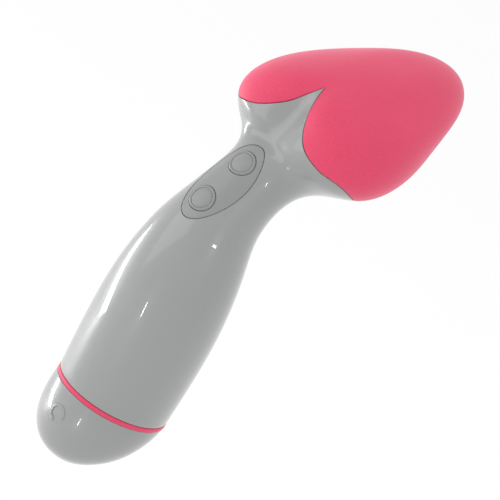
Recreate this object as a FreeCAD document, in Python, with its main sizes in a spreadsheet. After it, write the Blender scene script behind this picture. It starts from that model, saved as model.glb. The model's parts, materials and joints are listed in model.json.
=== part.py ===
import FreeCAD, Part
import os
from math import atan2, cos, degrees, exp, pi, sin
import Sketcher
from FreeCAD import Placement, Rotation, Vector

# Handheld wand massager: a battery handle with a bent neck that carries a
# heart-shaped massage head.  Frame: +Z up along the barrel, +X to the right
# as the keypad is faced, +Y to the back, where the point of the heart is.
# The origin is the middle of the grip on the barrel's axis.  Heights in the
# sheet are measured from the ring plane, where the end cap meets the barrel.

os.makedirs("parts", exist_ok=True)
doc = FreeCAD.newDocument("wand_massager")

# ---------------------------------------------------------------- sizes, mm
SIZES = [
    ("grip_height", 45.0),        # grip centre above the ring plane
    ("barrel_radius", 21.0),      # barrel at the ring
    ("barrel_length", 71.0),      # ring plane to the barrel's shoulder
    ("neck_radius", 13.6),
    ("neck_lean", 3.4),           # neck centre behind the barrel's axis
    ("head_half_width", 32.8),
    ("head_reach", 81.6),         # cleft to the point of the heart
    ("head_height", 44.4),        # underside of the flare to the crown
    ("cleft_depth", 3.2),         # hollow between the lobes of the heart
    ("cleft_width", 6.0),
    ("cap_depth", 26.9),
    ("wall", 2.2),                # handle shell, and the soft skin level with it
    ("core_wall", 1.6),           # stiff dome under the skin
    ("lap_gap", 0.06),
    ("lap_depth", 4.0),           # the dome reaches this far into the shell
    ("seam_gap", 0.12),
    ("rooting", 1.4),             # how near the outside a boss may start
    ("ring_width", 1.8),
    ("ring_proud", 0.05),
    ("face_gap", 0.05),
    # bayonet closure of the end cap
    ("collar_wall", 3.0),         # barrel's rim at the ring
    ("collar_height", 11.5),
    ("spigot_gap", 0.15),
    ("spigot_wall", 1.65),
    ("spigot_height", 10.5),
    ("lug_reach", 0.95),
    ("lug_height", 2.0),
    ("lug_floor", 3.4),
    ("lug_angle", 14.0),
    ("lug_gap", 0.2),
    ("twist_angle", 40.0),
    ("groove_floor", 7.0),
    ("groove_room", 0.3),
    ("oring_section", 0.55),
    ("oring_slack", 0.05),
    ("plate_rest", 2.2),
    # battery bay
    ("cell_radius", 7.25),
    ("cell_length", 50.5),
    ("cell_clear", 0.5),          # between the two cells
    ("cell_foot", -0.9),
    ("nub_radius", 2.7),
    ("nub_height", 1.2),
    ("cell_gap", 0.2),
    ("holder_wall", 0.95),
    ("holder_foot", 11.5),
    ("holder_roof", 2.2),
    ("contact_rise", 4.7),        # room above the negative end for its spring
    ("contact_thick", 0.6),
    ("plate_thick", 0.5),
    ("ear_reach", 3.8),           # screw beyond the holder's side
    ("ear_thick", 3.0),
    ("boss_radius", 3.2),
    ("boss_rise", 12.0),
    ("rib_thick", 2.4),
    # screws
    ("screw_radius", 1.0),
    ("screw_head_radius", 1.9),
    ("screw_head", 1.5),
    ("pilot_gap", 0.05),
    ("hole_gap", 0.2),
    # keypad, buttons and board, as depths below the keypad's face
    ("keypad_height", 18.7),      # above the barrel's shoulder
    ("keypad_half_length", 17.4),
    ("keypad_half_width", 8.4),
    ("keypad_thick", 1.2),
    ("keypad_gap", 0.12),
    ("button_offset", 9.0),
    ("button_radius", 4.7),
    ("button_gap", 0.2),
    ("button_proud", 0.6),
    ("button_edge", 0.05),
    ("flange_lip", 0.9),
    ("flange_drop", 0.75),        # flange below the inside of the curved wall
    ("flange_thick", 0.8),
    ("stem_radius", 1.5),
    ("plunger_stand", 0.35),      # plunger's collar above the switch
    ("plunger_radius", 1.4),
    ("plunger_length", 1.7),
    ("plunger_gap", 0.15),
    ("switch_side", 6.0),
    ("switch_height", 3.0),
    ("board_depth", 9.3),
    ("board_thick", 1.2),
    ("board_half_width", 8.5),
    ("board_half_length", 20.5),
    ("post_inset", 2.8),
    ("post_radius", 2.3),
    ("post_screw_radius", 0.8),
    ("chip_side", 5.0),
    ("chip_thick", 1.5),
    ("capacitor_radius", 2.5),
    ("capacitor_length", 7.0),
    # vibration motor in the head
    ("motor_level", 41.1),        # sets the motor's axis above the barrel's shoulder
    ("motor_start", 21.0),
    ("motor_length", 26.0),
    ("motor_radius", 9.0),
    ("motor_wall", 0.8),
    ("bell_thick", 2.0),
    ("magnet_thick", 1.8),
    ("air_gap", 0.8),
    ("armature_length", 16.0),
    ("shaft_radius", 1.0),
    ("shaft_gap", 0.05),
    ("shaft_reach", 12.0),
    ("weight_radius", 7.5),
    ("weight_length", 8.0),
    ("weight_stand", 3.0),
    ("weight_hub", 2.4),
    ("sleeve_thick", 1.0),
    ("sleeve_gap", 0.05),
    ("cradle_floor", 3.9),        # cradle's thickness under the motor
    ("cradle_margin", 2.0),
    ("cradle_short", 5.0),        # the motor's far end overhangs the cradle
    ("cradle_screw_front", 1.0),
    ("cradle_screw_back", 16.0),
    ("cradle_screw_depth", 4.3),
    ("strap_width", 6.0),
    ("strap_thick", 1.35),
    ("strap_start", 2.0),
    ("strap_lug", 1.7),
    ("strap_ear", 5.55),
    ("ear_depth", 9.0),
    ("lead_radius", 0.6),
    # screws of the head, front pair and back pair
    ("front_screw_x", 13.0),
    ("front_screw_y", 13.0),
    ("front_boss_top", 32.0),
    ("front_screw_depth", 8.0),
    ("back_screw_x", 15.5),
    ("back_screw_y", 35.0),
    ("back_boss_top", 36.6),
    ("back_screw_depth", 4.6),
    ("tube_radius", 3.6),
    ("tube_floor", 2.0),
]
sheet = doc.addObject("Spreadsheet::Sheet", "Sizes")
for line, (alias, number) in enumerate(SIZES, start=1):
    sheet.set(f"A{line}", alias)
    sheet.set(f"B{line}", str(number))
    sheet.setAlias(f"B{line}", alias)
doc.recompute()


class Size:
    """A number kept together with the expression that gives it."""

    def __init__(self, number, text):
        self.number = float(number)
        self.text = text

    def __float__(self):
        return self.number

    def __add__(self, other):
        other = as_size(other)
        return Size(self.number + other.number, f"({self.text} + {other.text})")

    def __sub__(self, other):
        other = as_size(other)
        return Size(self.number - other.number, f"({self.text} - {other.text})")

    def __mul__(self, other):
        other = as_size(other)
        return Size(self.number * other.number, f"({self.text} * {other.text})")

    def __truediv__(self, other):
        other = as_size(other)
        return Size(self.number / other.number, f"({self.text} / {other.text})")

    def __neg__(self):
        return Size(-self.number, f"(0 - {self.text})")

    __radd__ = __add__
    __rmul__ = __mul__

    def __rsub__(self, other):
        return as_size(other) - self


def as_size(item):
    if isinstance(item, Size):
        return item
    return Size(item, repr(float(item)))


class Sheet:
    pass


s = Sheet()
for alias, number in SIZES:
    setattr(s, alias, Size(sheet.get(alias), f"Sizes.{alias}"))

# Sizes that follow from the ones above, so that what fits keeps fitting.
s.collar_bore = s.barrel_radius - s.collar_wall
s.groove_depth = s.oring_section * 2 + s.oring_slack - s.spigot_gap
s.groove_height = s.oring_section * 2 + s.groove_room
s.cell_spacing = s.cell_radius * 2 + s.cell_clear
s.ear_offset = s.cell_radius + s.cell_gap + s.holder_wall + s.ear_reach
s.flange_radius = s.button_radius + s.flange_lip
s.flange_sag = s.flange_radius * s.flange_radius / (s.neck_radius * 2)
s.flange_depth = s.wall + s.flange_sag + s.flange_drop
s.plunger_depth = s.board_depth - s.switch_height - s.plunger_stand
s.post_offset = s.board_half_length - s.post_inset
s.armature_radius = s.motor_radius - s.motor_wall - s.magnet_thick - s.air_gap
s.trough_radius = s.motor_radius + s.sleeve_gap * 2 + s.sleeve_thick
s.motor_height = s.motor_level + s.motor_radius * 0.6
s.cradle_base = s.motor_height - s.trough_radius - s.cradle_floor
s.cradle_half_width = s.motor_radius
s.ear_half_span = s.trough_radius + s.strap_thick + s.strap_ear


def vec(x, y, z):
    return Vector(float(x), float(y), float(z))


def up(height):
    """Height above the ring plane as a Z of the frame."""
    return as_size(height) - s.grip_height


# ------------------------------------------------- parametric piece helpers
nodes = []


def node(obj, label):
    obj.Label = label
    nodes.append(obj)
    return obj


def place(obj, x=0.0, y=0.0, z=0.0, turn=None):
    """Seat a piece, with its position bound to the sheet."""
    obj.Placement = Placement(vec(x, y, z), turn or Rotation())
    for axis, item in zip("xyz", (x, y, z)):
        if isinstance(item, Size):
            obj.setExpression(f"Placement.Base.{axis}", item.text)


def body_plane(body, role):
    for item in body.Origin.OriginFeatures:
        if item.Role == role:
            return item


def new_sketch(body, name, role="XY_Plane", offset=None):
    sketch = body.newObject("Sketcher::SketchObject", name)
    sketch.AttachmentSupport = [(body_plane(body, role), "")]
    sketch.MapMode = "FlatFace"
    if offset is not None:
        sketch.AttachmentOffset = Placement(vec(0, 0, offset), Rotation())
        if isinstance(offset, Size):
            sketch.setExpression("AttachmentOffset.Base.z", offset.text)
    return sketch


def bind_distance(sketch, kind, index, position, item, name):
    """Hold one coordinate of a sketch point at a size from the sheet."""
    item = as_size(item)
    if item.number == 0:
        axis = -2 if kind == "DistanceX" else -1
        sketch.addConstraint(Sketcher.Constraint("PointOnObject", index, position, axis))
        return
    row = sketch.addConstraint(
        Sketcher.Constraint(kind, -1, 1, index, position, item.number))
    sketch.renameConstraint(row, name)
    sketch.setExpression(f"Constraints.{name}", item.text)


def outline(sketch, corners):
    """Closed polygon through corners given as pairs of sizes."""
    points = [vec(x, y, 0) for x, y in corners]
    count = len(points)
    first = sketch.GeometryCount
    for i in range(count):
        sketch.addGeometry(Part.LineSegment(points[i], points[(i + 1) % count]))
    for i in range(count):
        after = first + (i + 1) % count
        sketch.addConstraint(Sketcher.Constraint("Coincident", first + i, 2, after, 1))
    for i, (x, y) in enumerate(corners):
        bind_distance(sketch, "DistanceX", first + i, 1, x, f"x{first + i}")
        bind_distance(sketch, "DistanceY", first + i, 1, y, f"y{first + i}")


def circle(sketch, x, y, radius):
    index = sketch.addGeometry(
        Part.Circle(vec(x, y, 0), Vector(0, 0, 1), float(radius)))
    row = sketch.addConstraint(Sketcher.Constraint("Radius", index, float(radius)))
    sketch.renameConstraint(row, f"r{index}")
    sketch.setExpression(f"Constraints.r{index}", as_size(radius).text)
    bind_distance(sketch, "DistanceX", index, 3, x, f"cx{index}")
    bind_distance(sketch, "DistanceY", index, 3, y, f"cy{index}")


def rectangle(sketch, x0, y0, x1, y1):
    outline(sketch, [(x0, y0), (x1, y0), (x1, y1), (x0, y1)])


def feature(body, kind, sketch, length):
    """Pad or pocket of a sketch, upwards along its normal."""
    item = body.newObject(kind, sketch.Name + "_cut" if "Pocket" in kind else sketch.Name + "_pad")
    item.Profile = sketch
    item.Length = float(length)
    item.setExpression("Length", as_size(length).text)
    if "Pocket" in kind:
        item.Reversed = True
    sketch.Visibility = False
    return item


def pad(body, sketch, length):
    return feature(body, "PartDesign::Pad", sketch, length)


def pocket(body, sketch, length):
    return feature(body, "PartDesign::Pocket", sketch, length)


def new_body(label):
    body = doc.addObject("PartDesign::Body", label)
    return node(body, label)


def turned(label, profile):
    """Body turned about its own Z from corners of (radius, height)."""
    body = new_body(label)
    sketch = new_sketch(body, label + "_profile", "XZ_Plane")
    outline(sketch, profile)
    spin = body.newObject("PartDesign::Revolution", label + "_turned")
    spin.Profile = sketch
    spin.ReferenceAxis = (sketch, ["V_Axis"])
    spin.Angle = 360
    sketch.Visibility = False
    return body


def tube_profile(inner, outer, foot, top):
    return [(inner, foot), (outer, foot), (outer, top), (inner, top)]


def solid_node(label, shape):
    """Free-form piece whose shape is made in this file from the sheet."""
    item = doc.addObject("Part::Feature", label)
    item.Shape = shape
    item.Placement = Placement()
    return node(item, label)


def cylinder(radius, foot, top, x=0.0, y=0.0):
    """Upright cylinder between two heights above the ring plane."""
    return Part.makeCylinder(float(radius), float(top) - float(foot), vec(x, y, up(foot)))


def box(x0, x1, y0, y1, foot, top):
    return Part.makeBox(float(x1) - float(x0), float(y1) - float(y0),
                        float(top) - float(foot), vec(x0, y0, up(foot)))


def barrel_along_y(radius, y0, y1, height):
    return Part.makeCylinder(float(radius), float(y1) - float(y0),
                             vec(0, y0, up(height)), Vector(0, 1, 0))


def sector(inner, outer, foot, top, start, sweep):
    """Part of a ring about the barrel's axis, between two angles."""
    ring = Part.makeCylinder(float(outer), float(top) - float(foot), vec(0, 0, up(foot)),
                             Vector(0, 0, 1), float(sweep))
    ring.rotate(Vector(0, 0, 0), Vector(0, 0, 1), float(start))
    if float(inner) > 0:
        ring = ring.cut(cylinder(inner, float(foot) - 1, float(top) + 1))
    return ring


def screw(x, y, seat, length, radius, head_radius, head, sense=1):
    """Upright screw seated under its head; sense -1 puts the head below."""
    shank_foot = float(seat) - float(length) if sense > 0 else float(seat)
    shank = cylinder(radius, shank_foot, shank_foot + float(length), x, y)
    head_foot = float(seat) if sense > 0 else float(seat) - float(head)
    cap_piece = cylinder(head_radius, head_foot, head_foot + float(head), x, y)
    slot_foot = head_foot + 0.6 * float(head) if sense > 0 else head_foot
    slot = box(float(x) - 0.3, float(x) + 0.3, float(y) - float(head_radius),
               float(y) + float(head_radius), slot_foot, slot_foot + 0.4 * float(head))
    return shank.fuse(cap_piece).cut(slot).removeSplitter()


def lead(points, radius):
    """Insulated wire along straight runs joined by tangent arcs."""
    edges = []
    here = points[0]
    for i in range(1, len(points) - 1):
        back = points[i - 1] - points[i]
        ahead = points[i + 1] - points[i]
        reach = 0.4 * min(back.Length, ahead.Length)
        start = points[i] + back.normalize() * reach
        stop = points[i] + ahead.normalize() * reach
        half = back.getAngle(ahead) / 2
        bow = reach * (1 - sin(half)) / cos(half)
        middle = points[i] + (back + ahead).normalize() * bow
        edges.append(Part.makeLine(here, start))
        edges.append(Part.Arc(start, middle, stop).toShape())
        here = stop
    edges.append(Part.makeLine(here, points[-1]))
    path = Part.Wire(edges)
    profile = Part.Wire([Part.makeCircle(float(radius), points[0], points[1] - points[0])])
    return path.makePipeShell([profile], True, True)


# ------------------------------------------------------------ outer surface
ANGLES = 36
JOIN_AT = 9                       # each section starts and ends at its side
shoulder = float(s.barrel_length)


def body_rows():
    """Sections of the handle and head from the ring to the crown.

    Each row: front depth, front height, back depth, back height, half width,
    how far the oval turns into a heart, how much it narrows to the back,
    how much of the cleft's depth it takes.
    """
    radius = float(s.barrel_radius)
    neck = float(s.neck_radius)
    lean = float(s.neck_lean)
    wide = float(s.head_half_width)
    reach = float(s.head_reach)
    tall = float(s.head_height)
    rows = []
    # The barrel swells towards the palm and draws in below the neck.
    for front, front_rise, back, back_rise, width in (
            (-1.000, 0.000, 1.000, 0.000, 1.000),
            (-1.062, 0.197, 1.005, 0.197, 1.029),
            (-1.110, 0.394, 0.995, 0.394, 1.043),
            (-1.124, 0.599, 0.948, 0.577, 1.024),
            (-1.062, 0.803, 0.867, 0.746, 0.952),
            (-0.914, 1.000, 0.776, 0.880, 0.838)):
        rows.append((front * radius, front_rise * shoulder, back * radius,
                     back_rise * shoulder, width * radius, 0.0, 0.0, 0.0))
    # The neck leans back, so its sections tilt.
    for centre, depth, front_up, back_up, width in (
            (lean - 3.05, 1.092, 11.4, 0.0, 1.081),
            (lean + 0.35, 0.930, 21.1, 8.5, 0.971),
            (lean + 4.9, 0.897, 28.7, 16.8, 0.993)):
        rows.append((centre - depth * neck, shoulder + front_up, centre + depth * neck,
                     shoulder + back_up, width * neck, 0.0, 0.0, 0.0))
    # The flare opens into the heart and closes over the crown.
    foot = shoulder + 28.0
    for front, front_rise, back, back_rise, width, heart, narrow, cleft in (
            (-0.4, 0.113, 0.359, -0.106, 0.558, 0.10, 0.05, 0.12),
            (1.1, 0.169, 0.559, 0.002, 0.811, 0.19, 0.12, 0.44),
            (1.3, 0.257, 0.770, 0.149, 0.960, 0.29, 0.20, 0.75),
            (2.4, 0.367, 0.923, 0.381, 1.000, 0.36, 0.25, 0.94),
            (4.1, 0.482, 0.988, 0.615, 0.951, 0.34, 0.24, 1.00),
            (6.4, 0.595, 1.000, 0.791, 0.851, 0.24, 0.16, 0.94),
            (10.3, 0.689, 0.975, 0.921, 0.704, 0.12, 0.08, 0.69),
            (16.6, 0.770, 0.914, 1.027, 0.527, 0.04, 0.03, 0.34),
            (24.6, 0.851, 0.806, 1.077, 0.351, 0.0, 0.0, 0.09),
            (33.8, 0.928, 0.668, 1.054, 0.180, 0.0, 0.0, 0.0),
            (43.2, 0.993, 0.551, 1.002, 0.021, 0.0, 0.0, 0.0)):
        rows.append((front, foot + front_rise * tall, back * reach, foot + back_rise * tall,
                     width * wide, heart, narrow, cleft))
    return rows


def cap_rows():
    """Sections of the end cap, from the ring down to the pole of its dome."""
    radius = float(s.barrel_radius)
    deep = float(s.cap_depth)
    rows = []
    for front, front_drop, back, back_drop, width in (
            (-1.000, 0.000, 1.000, 0.000, 1.000),
            (-1.033, 0.204, 0.933, 0.149, 0.995),
            (-1.043, 0.446, 0.786, 0.335, 0.943),
            (-0.995, 0.669, 0.548, 0.550, 0.819),
            (-0.867, 0.848, 0.238, 0.736, 0.610),
            (-0.643, 0.955, -0.095, 0.900, 0.333),
            (-0.405, 1.000, -0.352, 1.000, 0.024)):
        rows.append((front * radius, -front_drop * deep, back * radius, -back_drop * deep,
                     width * radius, 0.0, 0.0, 0.0))
    return rows


def heart_oval(angle, heart, narrow):
    """Unit outline, from the cleft at angle 0 round to the point at pi."""
    across = sin(angle) * (1 + narrow * cos(angle))
    lobe = sin(angle) ** 3
    along = cos(angle)
    crest = (13 * cos(angle) - 5 * cos(2 * angle) - 2 * cos(3 * angle) - cos(4 * angle) + 2.5)
    return ((1 - heart) * across + heart * lobe,
            -((1 - heart) * along + heart * crest / 14.5))


def row_points(row):
    front_y, front_z, back_y, back_z, half_width, heart, narrow, cleft = row
    fine = [heart_oval(2 * pi * i / 180, heart, narrow) for i in range(180)]
    widest = max(point[0] for point in fine)
    first = min(point[1] for point in fine)
    last = max(point[1] for point in fine)
    points = []
    for i in range(ANGLES):
        across, along = heart_oval(2 * pi * i / ANGLES, heart, narrow)
        share = (along - first) / (last - first)
        x = across / widest * half_width
        hollow = cleft * float(s.cleft_depth) * exp(-(x / float(s.cleft_width)) ** 2)
        points.append(Vector(x, front_y + (back_y - front_y) * share + hollow * (1 - share) ** 2,
                             front_z + (back_z - front_z) * share - float(s.grip_height)))
    return points


def inset(grid, depth, pole):
    """The same grid moved inwards by a depth, square to the surface."""
    sense = 1 if pole.z > 0 else -1
    last = len(grid) - 1
    moved = []
    for j, row in enumerate(grid):
        above = grid[min(j + 1, last)]
        below = grid[max(j - 1, 0)]
        new_row = []
        for i, point in enumerate(row):
            round_it = row[(i + 1) % ANGLES] - row[i - 1]
            normal = round_it.cross(above[i] - below[i]) * sense
            if j == 0:
                normal.z = 0
            if j == last:
                normal = Vector(pole)
            normal.normalize()
            new_row.append(point - normal * depth)
        moved.append(new_row[JOIN_AT:] + new_row[:JOIN_AT])
    return moved


def loft(grid):
    knots = [i / ANGLES for i in range(ANGLES + 1)]
    wires = []
    for row in grid:
        curve = Part.BSplineCurve()
        curve.interpolate(Points=row, PeriodicFlag=True, Parameters=knots)
        wires.append(Part.Wire([curve.toShape()]))
    return Part.makeLoft(wires, True, False)


body_grid = [row_points(row) for row in body_rows()]
cap_grid = [row_points(row) for row in cap_rows()]


def body_skin(depth):
    return loft(inset(body_grid, float(depth), Vector(0, -0.1, 1)))


def cap_skin(depth):
    return loft(inset(cap_grid, float(depth), Vector(0, 0, -1)))


outside = body_skin(0)
inside = body_skin(s.wall)
rooted = body_skin(s.rooting)

# ------------------------------------------------------------ seam of the head
# Seen from the side the seam dips under the lobes and rises to the point;
# seen from the front a tongue of the shell rises into the cleft.
seam_profile = [(-40.0, 40.0), (-20.0, 40.0), (0.0, 38.5), (9.0, 38.0), (15.0, 36.0),
                (24.0, 32.4), (34.0, 31.4), (45.0, 32.6), (60.0, 36.5), (84.0, 45.5),
                (110.0, 56.0)]
tongue_profile = [(0.0, 59.2), (1.9, 54.9), (3.8, 51.0), (6.2, 47.9), (9.2, 45.1),
                  (13.0, 42.4), (19.0, 39.8), (23.0, 38.0), (26.0, 35.0), (28.0, 31.0)]
TONGUE_BACK = 20.0
FAR = 60.0


def smooth_edge(points):
    curve = Part.BSplineCurve()
    curve.interpolate(Points=points)
    return curve.toShape()


def above_seam(rise):
    """Everything above the seam, raised by rise."""
    base = shoulder + float(rise)
    low = [vec(-FAR, y, up(base + z)) for y, z in seam_profile]
    top = up(base + 120.0)
    corner_back = vec(-FAR, seam_profile[-1][0], top)
    corner_front = vec(-FAR, seam_profile[0][0], top)
    side = Part.Wire([smooth_edge(low), Part.makeLine(low[-1], corner_back),
                      Part.makeLine(corner_back, corner_front),
                      Part.makeLine(corner_front, low[0])])
    region = Part.Face(side).extrude(Vector(2 * FAR, 0, 0))
    right = [vec(x, -FAR, up(base + z)) for x, z in tongue_profile]
    left = [vec(-x, -FAR, up(base + z)) for x, z in tongue_profile]
    foot_right = vec(tongue_profile[-1][0], -FAR, up(base))
    foot_left = vec(-tongue_profile[-1][0], -FAR, up(base))
    tongue = Part.Wire([smooth_edge(right), Part.makeLine(right[-1], foot_right),
                        Part.makeLine(foot_right, foot_left),
                        Part.makeLine(foot_left, left[-1]), smooth_edge(left[::-1])])
    wedge = Part.Face(tongue).extrude(Vector(0, FAR + TONGUE_BACK, 0))
    return region.cut(wedge)


# ------------------------------------------------------------ keypad frame
front_line = [(row[0], row[1]) for row in body_rows()]


def front_depth(height):
    """Depth of the front middle line at a height above the ring plane."""
    for (y0, z0), (y1, z1) in zip(front_line, front_line[1:]):
        if z0 <= height <= z1:
            return y0 + (y1 - y0) * (height - z0) / (z1 - z0)


keypad_z = shoulder + float(s.keypad_height)
probe = float(s.button_offset)
rise_y = front_depth(keypad_z + probe) - front_depth(keypad_z - probe)
keypad_tilt = degrees(atan2(2 * probe, rise_y))
keypad_turn = Rotation(Vector(1, 0, 0), keypad_tilt)
keypad_origin = vec(0, front_depth(keypad_z), up(keypad_z))
keypad_seat = Placement(keypad_origin, keypad_turn)
keypad_out = keypad_turn.multVec(Vector(0, 0, 1))
keypad_up = keypad_turn.multVec(Vector(0, 1, 0))


def at_keypad(shape):
    placed = shape.copy()
    placed.Placement = keypad_seat.multiply(placed.Placement)
    return placed


def keypad_rod(radius, x, along, top, foot):
    """Cylinder square to the keypad between two levels below its face."""
    rod = Part.makeCylinder(float(radius), float(foot) - float(top),
                            vec(x, along, -float(foot)))
    return at_keypad(rod)


def keypad_oval(grow):
    """Oval block square to the keypad, through the wall."""
    oval = Part.Ellipse(Vector(0, 0, -8), float(s.keypad_half_length) + grow,
                        float(s.keypad_half_width) + grow)
    edge = oval.toShape()
    edge.rotate(Vector(0, 0, 0), Vector(0, 0, 1), 90)
    block = Part.Face(Part.Wire([edge])).extrude(Vector(0, 0, 18))
    return at_keypad(block)


def seat_keypad_piece(piece, along, depth):
    """Seat a piece on the keypad's axes at a distance along and a depth."""
    local = Vector(0, float(along), -float(depth))
    piece.Placement = keypad_seat.multiply(Placement(local, Rotation()))


button_places = [-s.button_offset, s.button_offset]
post_places = [-s.post_offset, s.post_offset]

# ------------------------------------------------------------ handle shell
ring_top = s.ring_width / 2
zone = above_seam(0)
shell = outside.cut(inside).cut(zone)
shell = shell.cut(cylinder(60, -10, ring_top))
collar = outside.common(cylinder(60, ring_top, s.collar_height))
collar = collar.cut(cylinder(s.collar_bore, -1, float(s.collar_height) + 1))
shell = shell.fuse(collar)

boss_height = s.holder_foot + s.ear_thick
boss_top = boss_height + s.boss_rise
for sense in (-1, 1):
    y = sense * float(s.ear_offset)
    boss = cylinder(s.boss_radius, boss_height, boss_top, 0, y)
    far = sense * 40.0
    half_rib = float(s.rib_thick) / 2
    rib = box(-half_rib, half_rib, min(y, far), max(y, far), boss_height, boss_top)
    shell = shell.fuse(boss.fuse(rib).common(rooted))
for along in post_places:
    post = keypad_rod(s.post_radius, 0, along, 0, s.board_depth)
    shell = shell.fuse(post.common(rooted))

front_boss_top = shoulder + float(s.front_boss_top)
back_boss_top = shoulder + float(s.back_boss_top)
head_screw_places = []
for side in (-1, 1):
    head_screw_places.append((side * float(s.front_screw_x), float(s.front_screw_y),
                              front_boss_top, float(s.front_screw_depth)))
    head_screw_places.append((side * float(s.back_screw_x), float(s.back_screw_y),
                              back_boss_top, float(s.back_screw_depth)))
# Bosses of the head keep out of the wall that belongs to the soft skin.
soft_wall = outside.cut(body_skin(s.wall + s.face_gap)).common(zone)
for x, y, top, depth in head_screw_places:
    boss = cylinder(s.boss_radius, top - 18, top, x, y)
    shell = shell.fuse(boss.common(rooted).cut(soft_wall))

cradle_foot = shoulder + float(s.cradle_base)
motor_end = s.motor_start + s.motor_length
cradle_front = float(s.motor_start - s.cradle_margin)
cradle_back = float(motor_end - s.cradle_short)
wide = float(s.cradle_half_width)
cradle_screw_places = [float(s.motor_start + s.cradle_screw_front),
                       float(s.motor_start + s.cradle_screw_back)]
for y in cradle_screw_places:
    boss = cylinder(s.boss_radius, cradle_foot - 30, cradle_foot, 0, y)
    shell = shell.fuse(boss.common(rooted).cut(soft_wall))

recess = keypad_oval(float(s.keypad_gap)).cut(body_skin(s.keypad_thick + s.face_gap))
shell = shell.cut(recess)
for along in button_places:
    window = keypad_rod(s.button_radius + s.button_gap + 0.3, 0, along, -2, s.flange_depth - 0.3)
    shell = shell.cut(window)

post_pilot = s.post_screw_radius + s.pilot_gap
for along in post_places:
    shell = shell.cut(keypad_rod(post_pilot, 0, along, s.board_depth - 5.0, s.board_depth))
pilot = s.screw_radius + s.pilot_gap
for sense in (-1, 1):
    shell = shell.cut(cylinder(pilot, boss_height, boss_height + 9.0, 0,
                               sense * float(s.ear_offset)))
for x, y, top, depth in head_screw_places:
    shell = shell.cut(cylinder(pilot, top - depth, top, x, y))
for y in cradle_screw_places:
    shell = shell.cut(cylinder(pilot, cradle_foot - float(s.cradle_screw_depth), cradle_foot, 0, y))

# Bayonet slots in the collar: in along the axis, then round to the lock.
lug_radius = s.collar_bore - s.spigot_gap + s.lug_reach
slot_radius = lug_radius + s.lug_gap
slack = 1.0
for i in range(3):
    start = 30.0 + 120.0 * i - float(s.lug_angle) / 2 - slack
    sweep = float(s.lug_angle) + 2 * slack
    groove = sector(15, slot_radius, s.lug_floor - s.lug_gap,
                    s.lug_floor + s.lug_height + s.lug_gap, start,
                    sweep + float(s.twist_angle))
    entry = sector(15, slot_radius, -1, s.lug_floor + s.lug_height + s.lug_gap,
                   start + float(s.twist_angle), sweep)
    shell = shell.cut(groove.fuse(entry))
solid_node("handle_shell", shell)

# ------------------------------------------------------------ massage head
under_cover = body_skin(s.wall)
cover = outside.cut(under_cover).common(above_seam(s.seam_gap))
solid_node("head_cover", cover)

core_outer = body_skin(s.wall + s.lap_gap)
core_inner = body_skin(s.wall + s.lap_gap + s.core_wall)
core_zone = above_seam(-s.lap_depth)
core = core_outer.cut(core_inner).common(core_zone)
# The dome's lap is notched round the cradle and the shell's bosses.
clear = float(s.hole_gap)
core = core.cut(box(-wide - clear, wide + clear, cradle_front - clear, cradle_back + clear,
                    cradle_foot - clear, cradle_foot + 8))
notch_radius = s.boss_radius + s.hole_gap
for x, y, top, depth in head_screw_places:
    core = core.cut(cylinder(notch_radius, top - 30, top + float(s.face_gap), x, y))
for y in cradle_screw_places:
    core = core.cut(cylinder(notch_radius, cradle_foot - 30, cradle_foot + 0.4, 0, y))
for x, y, top, depth in head_screw_places:
    tube = cylinder(s.tube_radius, top + float(s.face_gap), top + 80, x, y)
    core = core.fuse(tube.common(core_outer))
for x, y, top, depth in head_screw_places:
    floor = top + float(s.face_gap) + float(s.tube_floor)
    core = core.cut(cylinder(s.screw_radius + s.hole_gap, top - 1, floor + 1, x, y))
    core = core.cut(cylinder(s.screw_head_radius + s.hole_gap + 0.2, floor, top + 80, x, y))
solid_node("head_core", core)

screws = []
for x, y, top, depth in head_screw_places:
    seat = top + float(s.face_gap) + float(s.tube_floor)
    length = float(s.tube_floor) + float(s.face_gap) + depth - 0.3
    screws.append(screw(x, y, seat, length, s.screw_radius, s.screw_head_radius, s.screw_head))
solid_node("head_screws", Part.makeCompound(screws))

# ------------------------------------------------------------ keypad and board
plate = keypad_oval(0.0).common(outside).cut(body_skin(s.keypad_thick))
for along in button_places:
    plate = plate.cut(keypad_rod(s.button_radius + s.button_gap, 0, along, -8, 8))
solid_node("keypad_plate", plate)

button_profile = [
    (0, s.button_proud),
    (s.button_radius * 0.55, s.button_proud - 0.08),
    (s.button_radius * 0.88, s.button_edge + 0.2),
    (s.button_radius, s.button_edge),
    (s.button_radius, -s.flange_depth),
    (s.flange_radius, -s.flange_depth),
    (s.flange_radius, -s.flange_depth - s.flange_thick),
    (s.stem_radius, -s.flange_depth - s.flange_thick),
    (s.stem_radius, -s.plunger_depth),
    (0, -s.plunger_depth),
]
for name, along in zip(("power", "speed"), button_places):
    button = turned(f"{name}_button", button_profile)
    seat_keypad_piece(button, along, 0)
    plunger = doc.addObject("Part::Cylinder", f"{name}_plunger")
    plunger.setExpression("Radius", s.plunger_radius.text)
    plunger.setExpression("Height", s.plunger_length.text)
    node(plunger, f"{name}_plunger")
    seat_keypad_piece(plunger, along, s.plunger_depth + s.plunger_length)

switches = []
half = float(s.switch_side) / 2
for along in button_places:
    case = Part.makeBox(2 * half, 2 * half, float(s.switch_height),
                        vec(-half, float(along) - half, -s.board_depth))
    case = at_keypad(case)
    well = keypad_rod(s.plunger_radius + s.plunger_gap, 0, along,
                      s.board_depth - s.switch_height - 1, s.board_depth - 0.6)
    switches.append(case.cut(well))
solid_node("switch_bodies", Part.makeCompound(switches))

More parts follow.
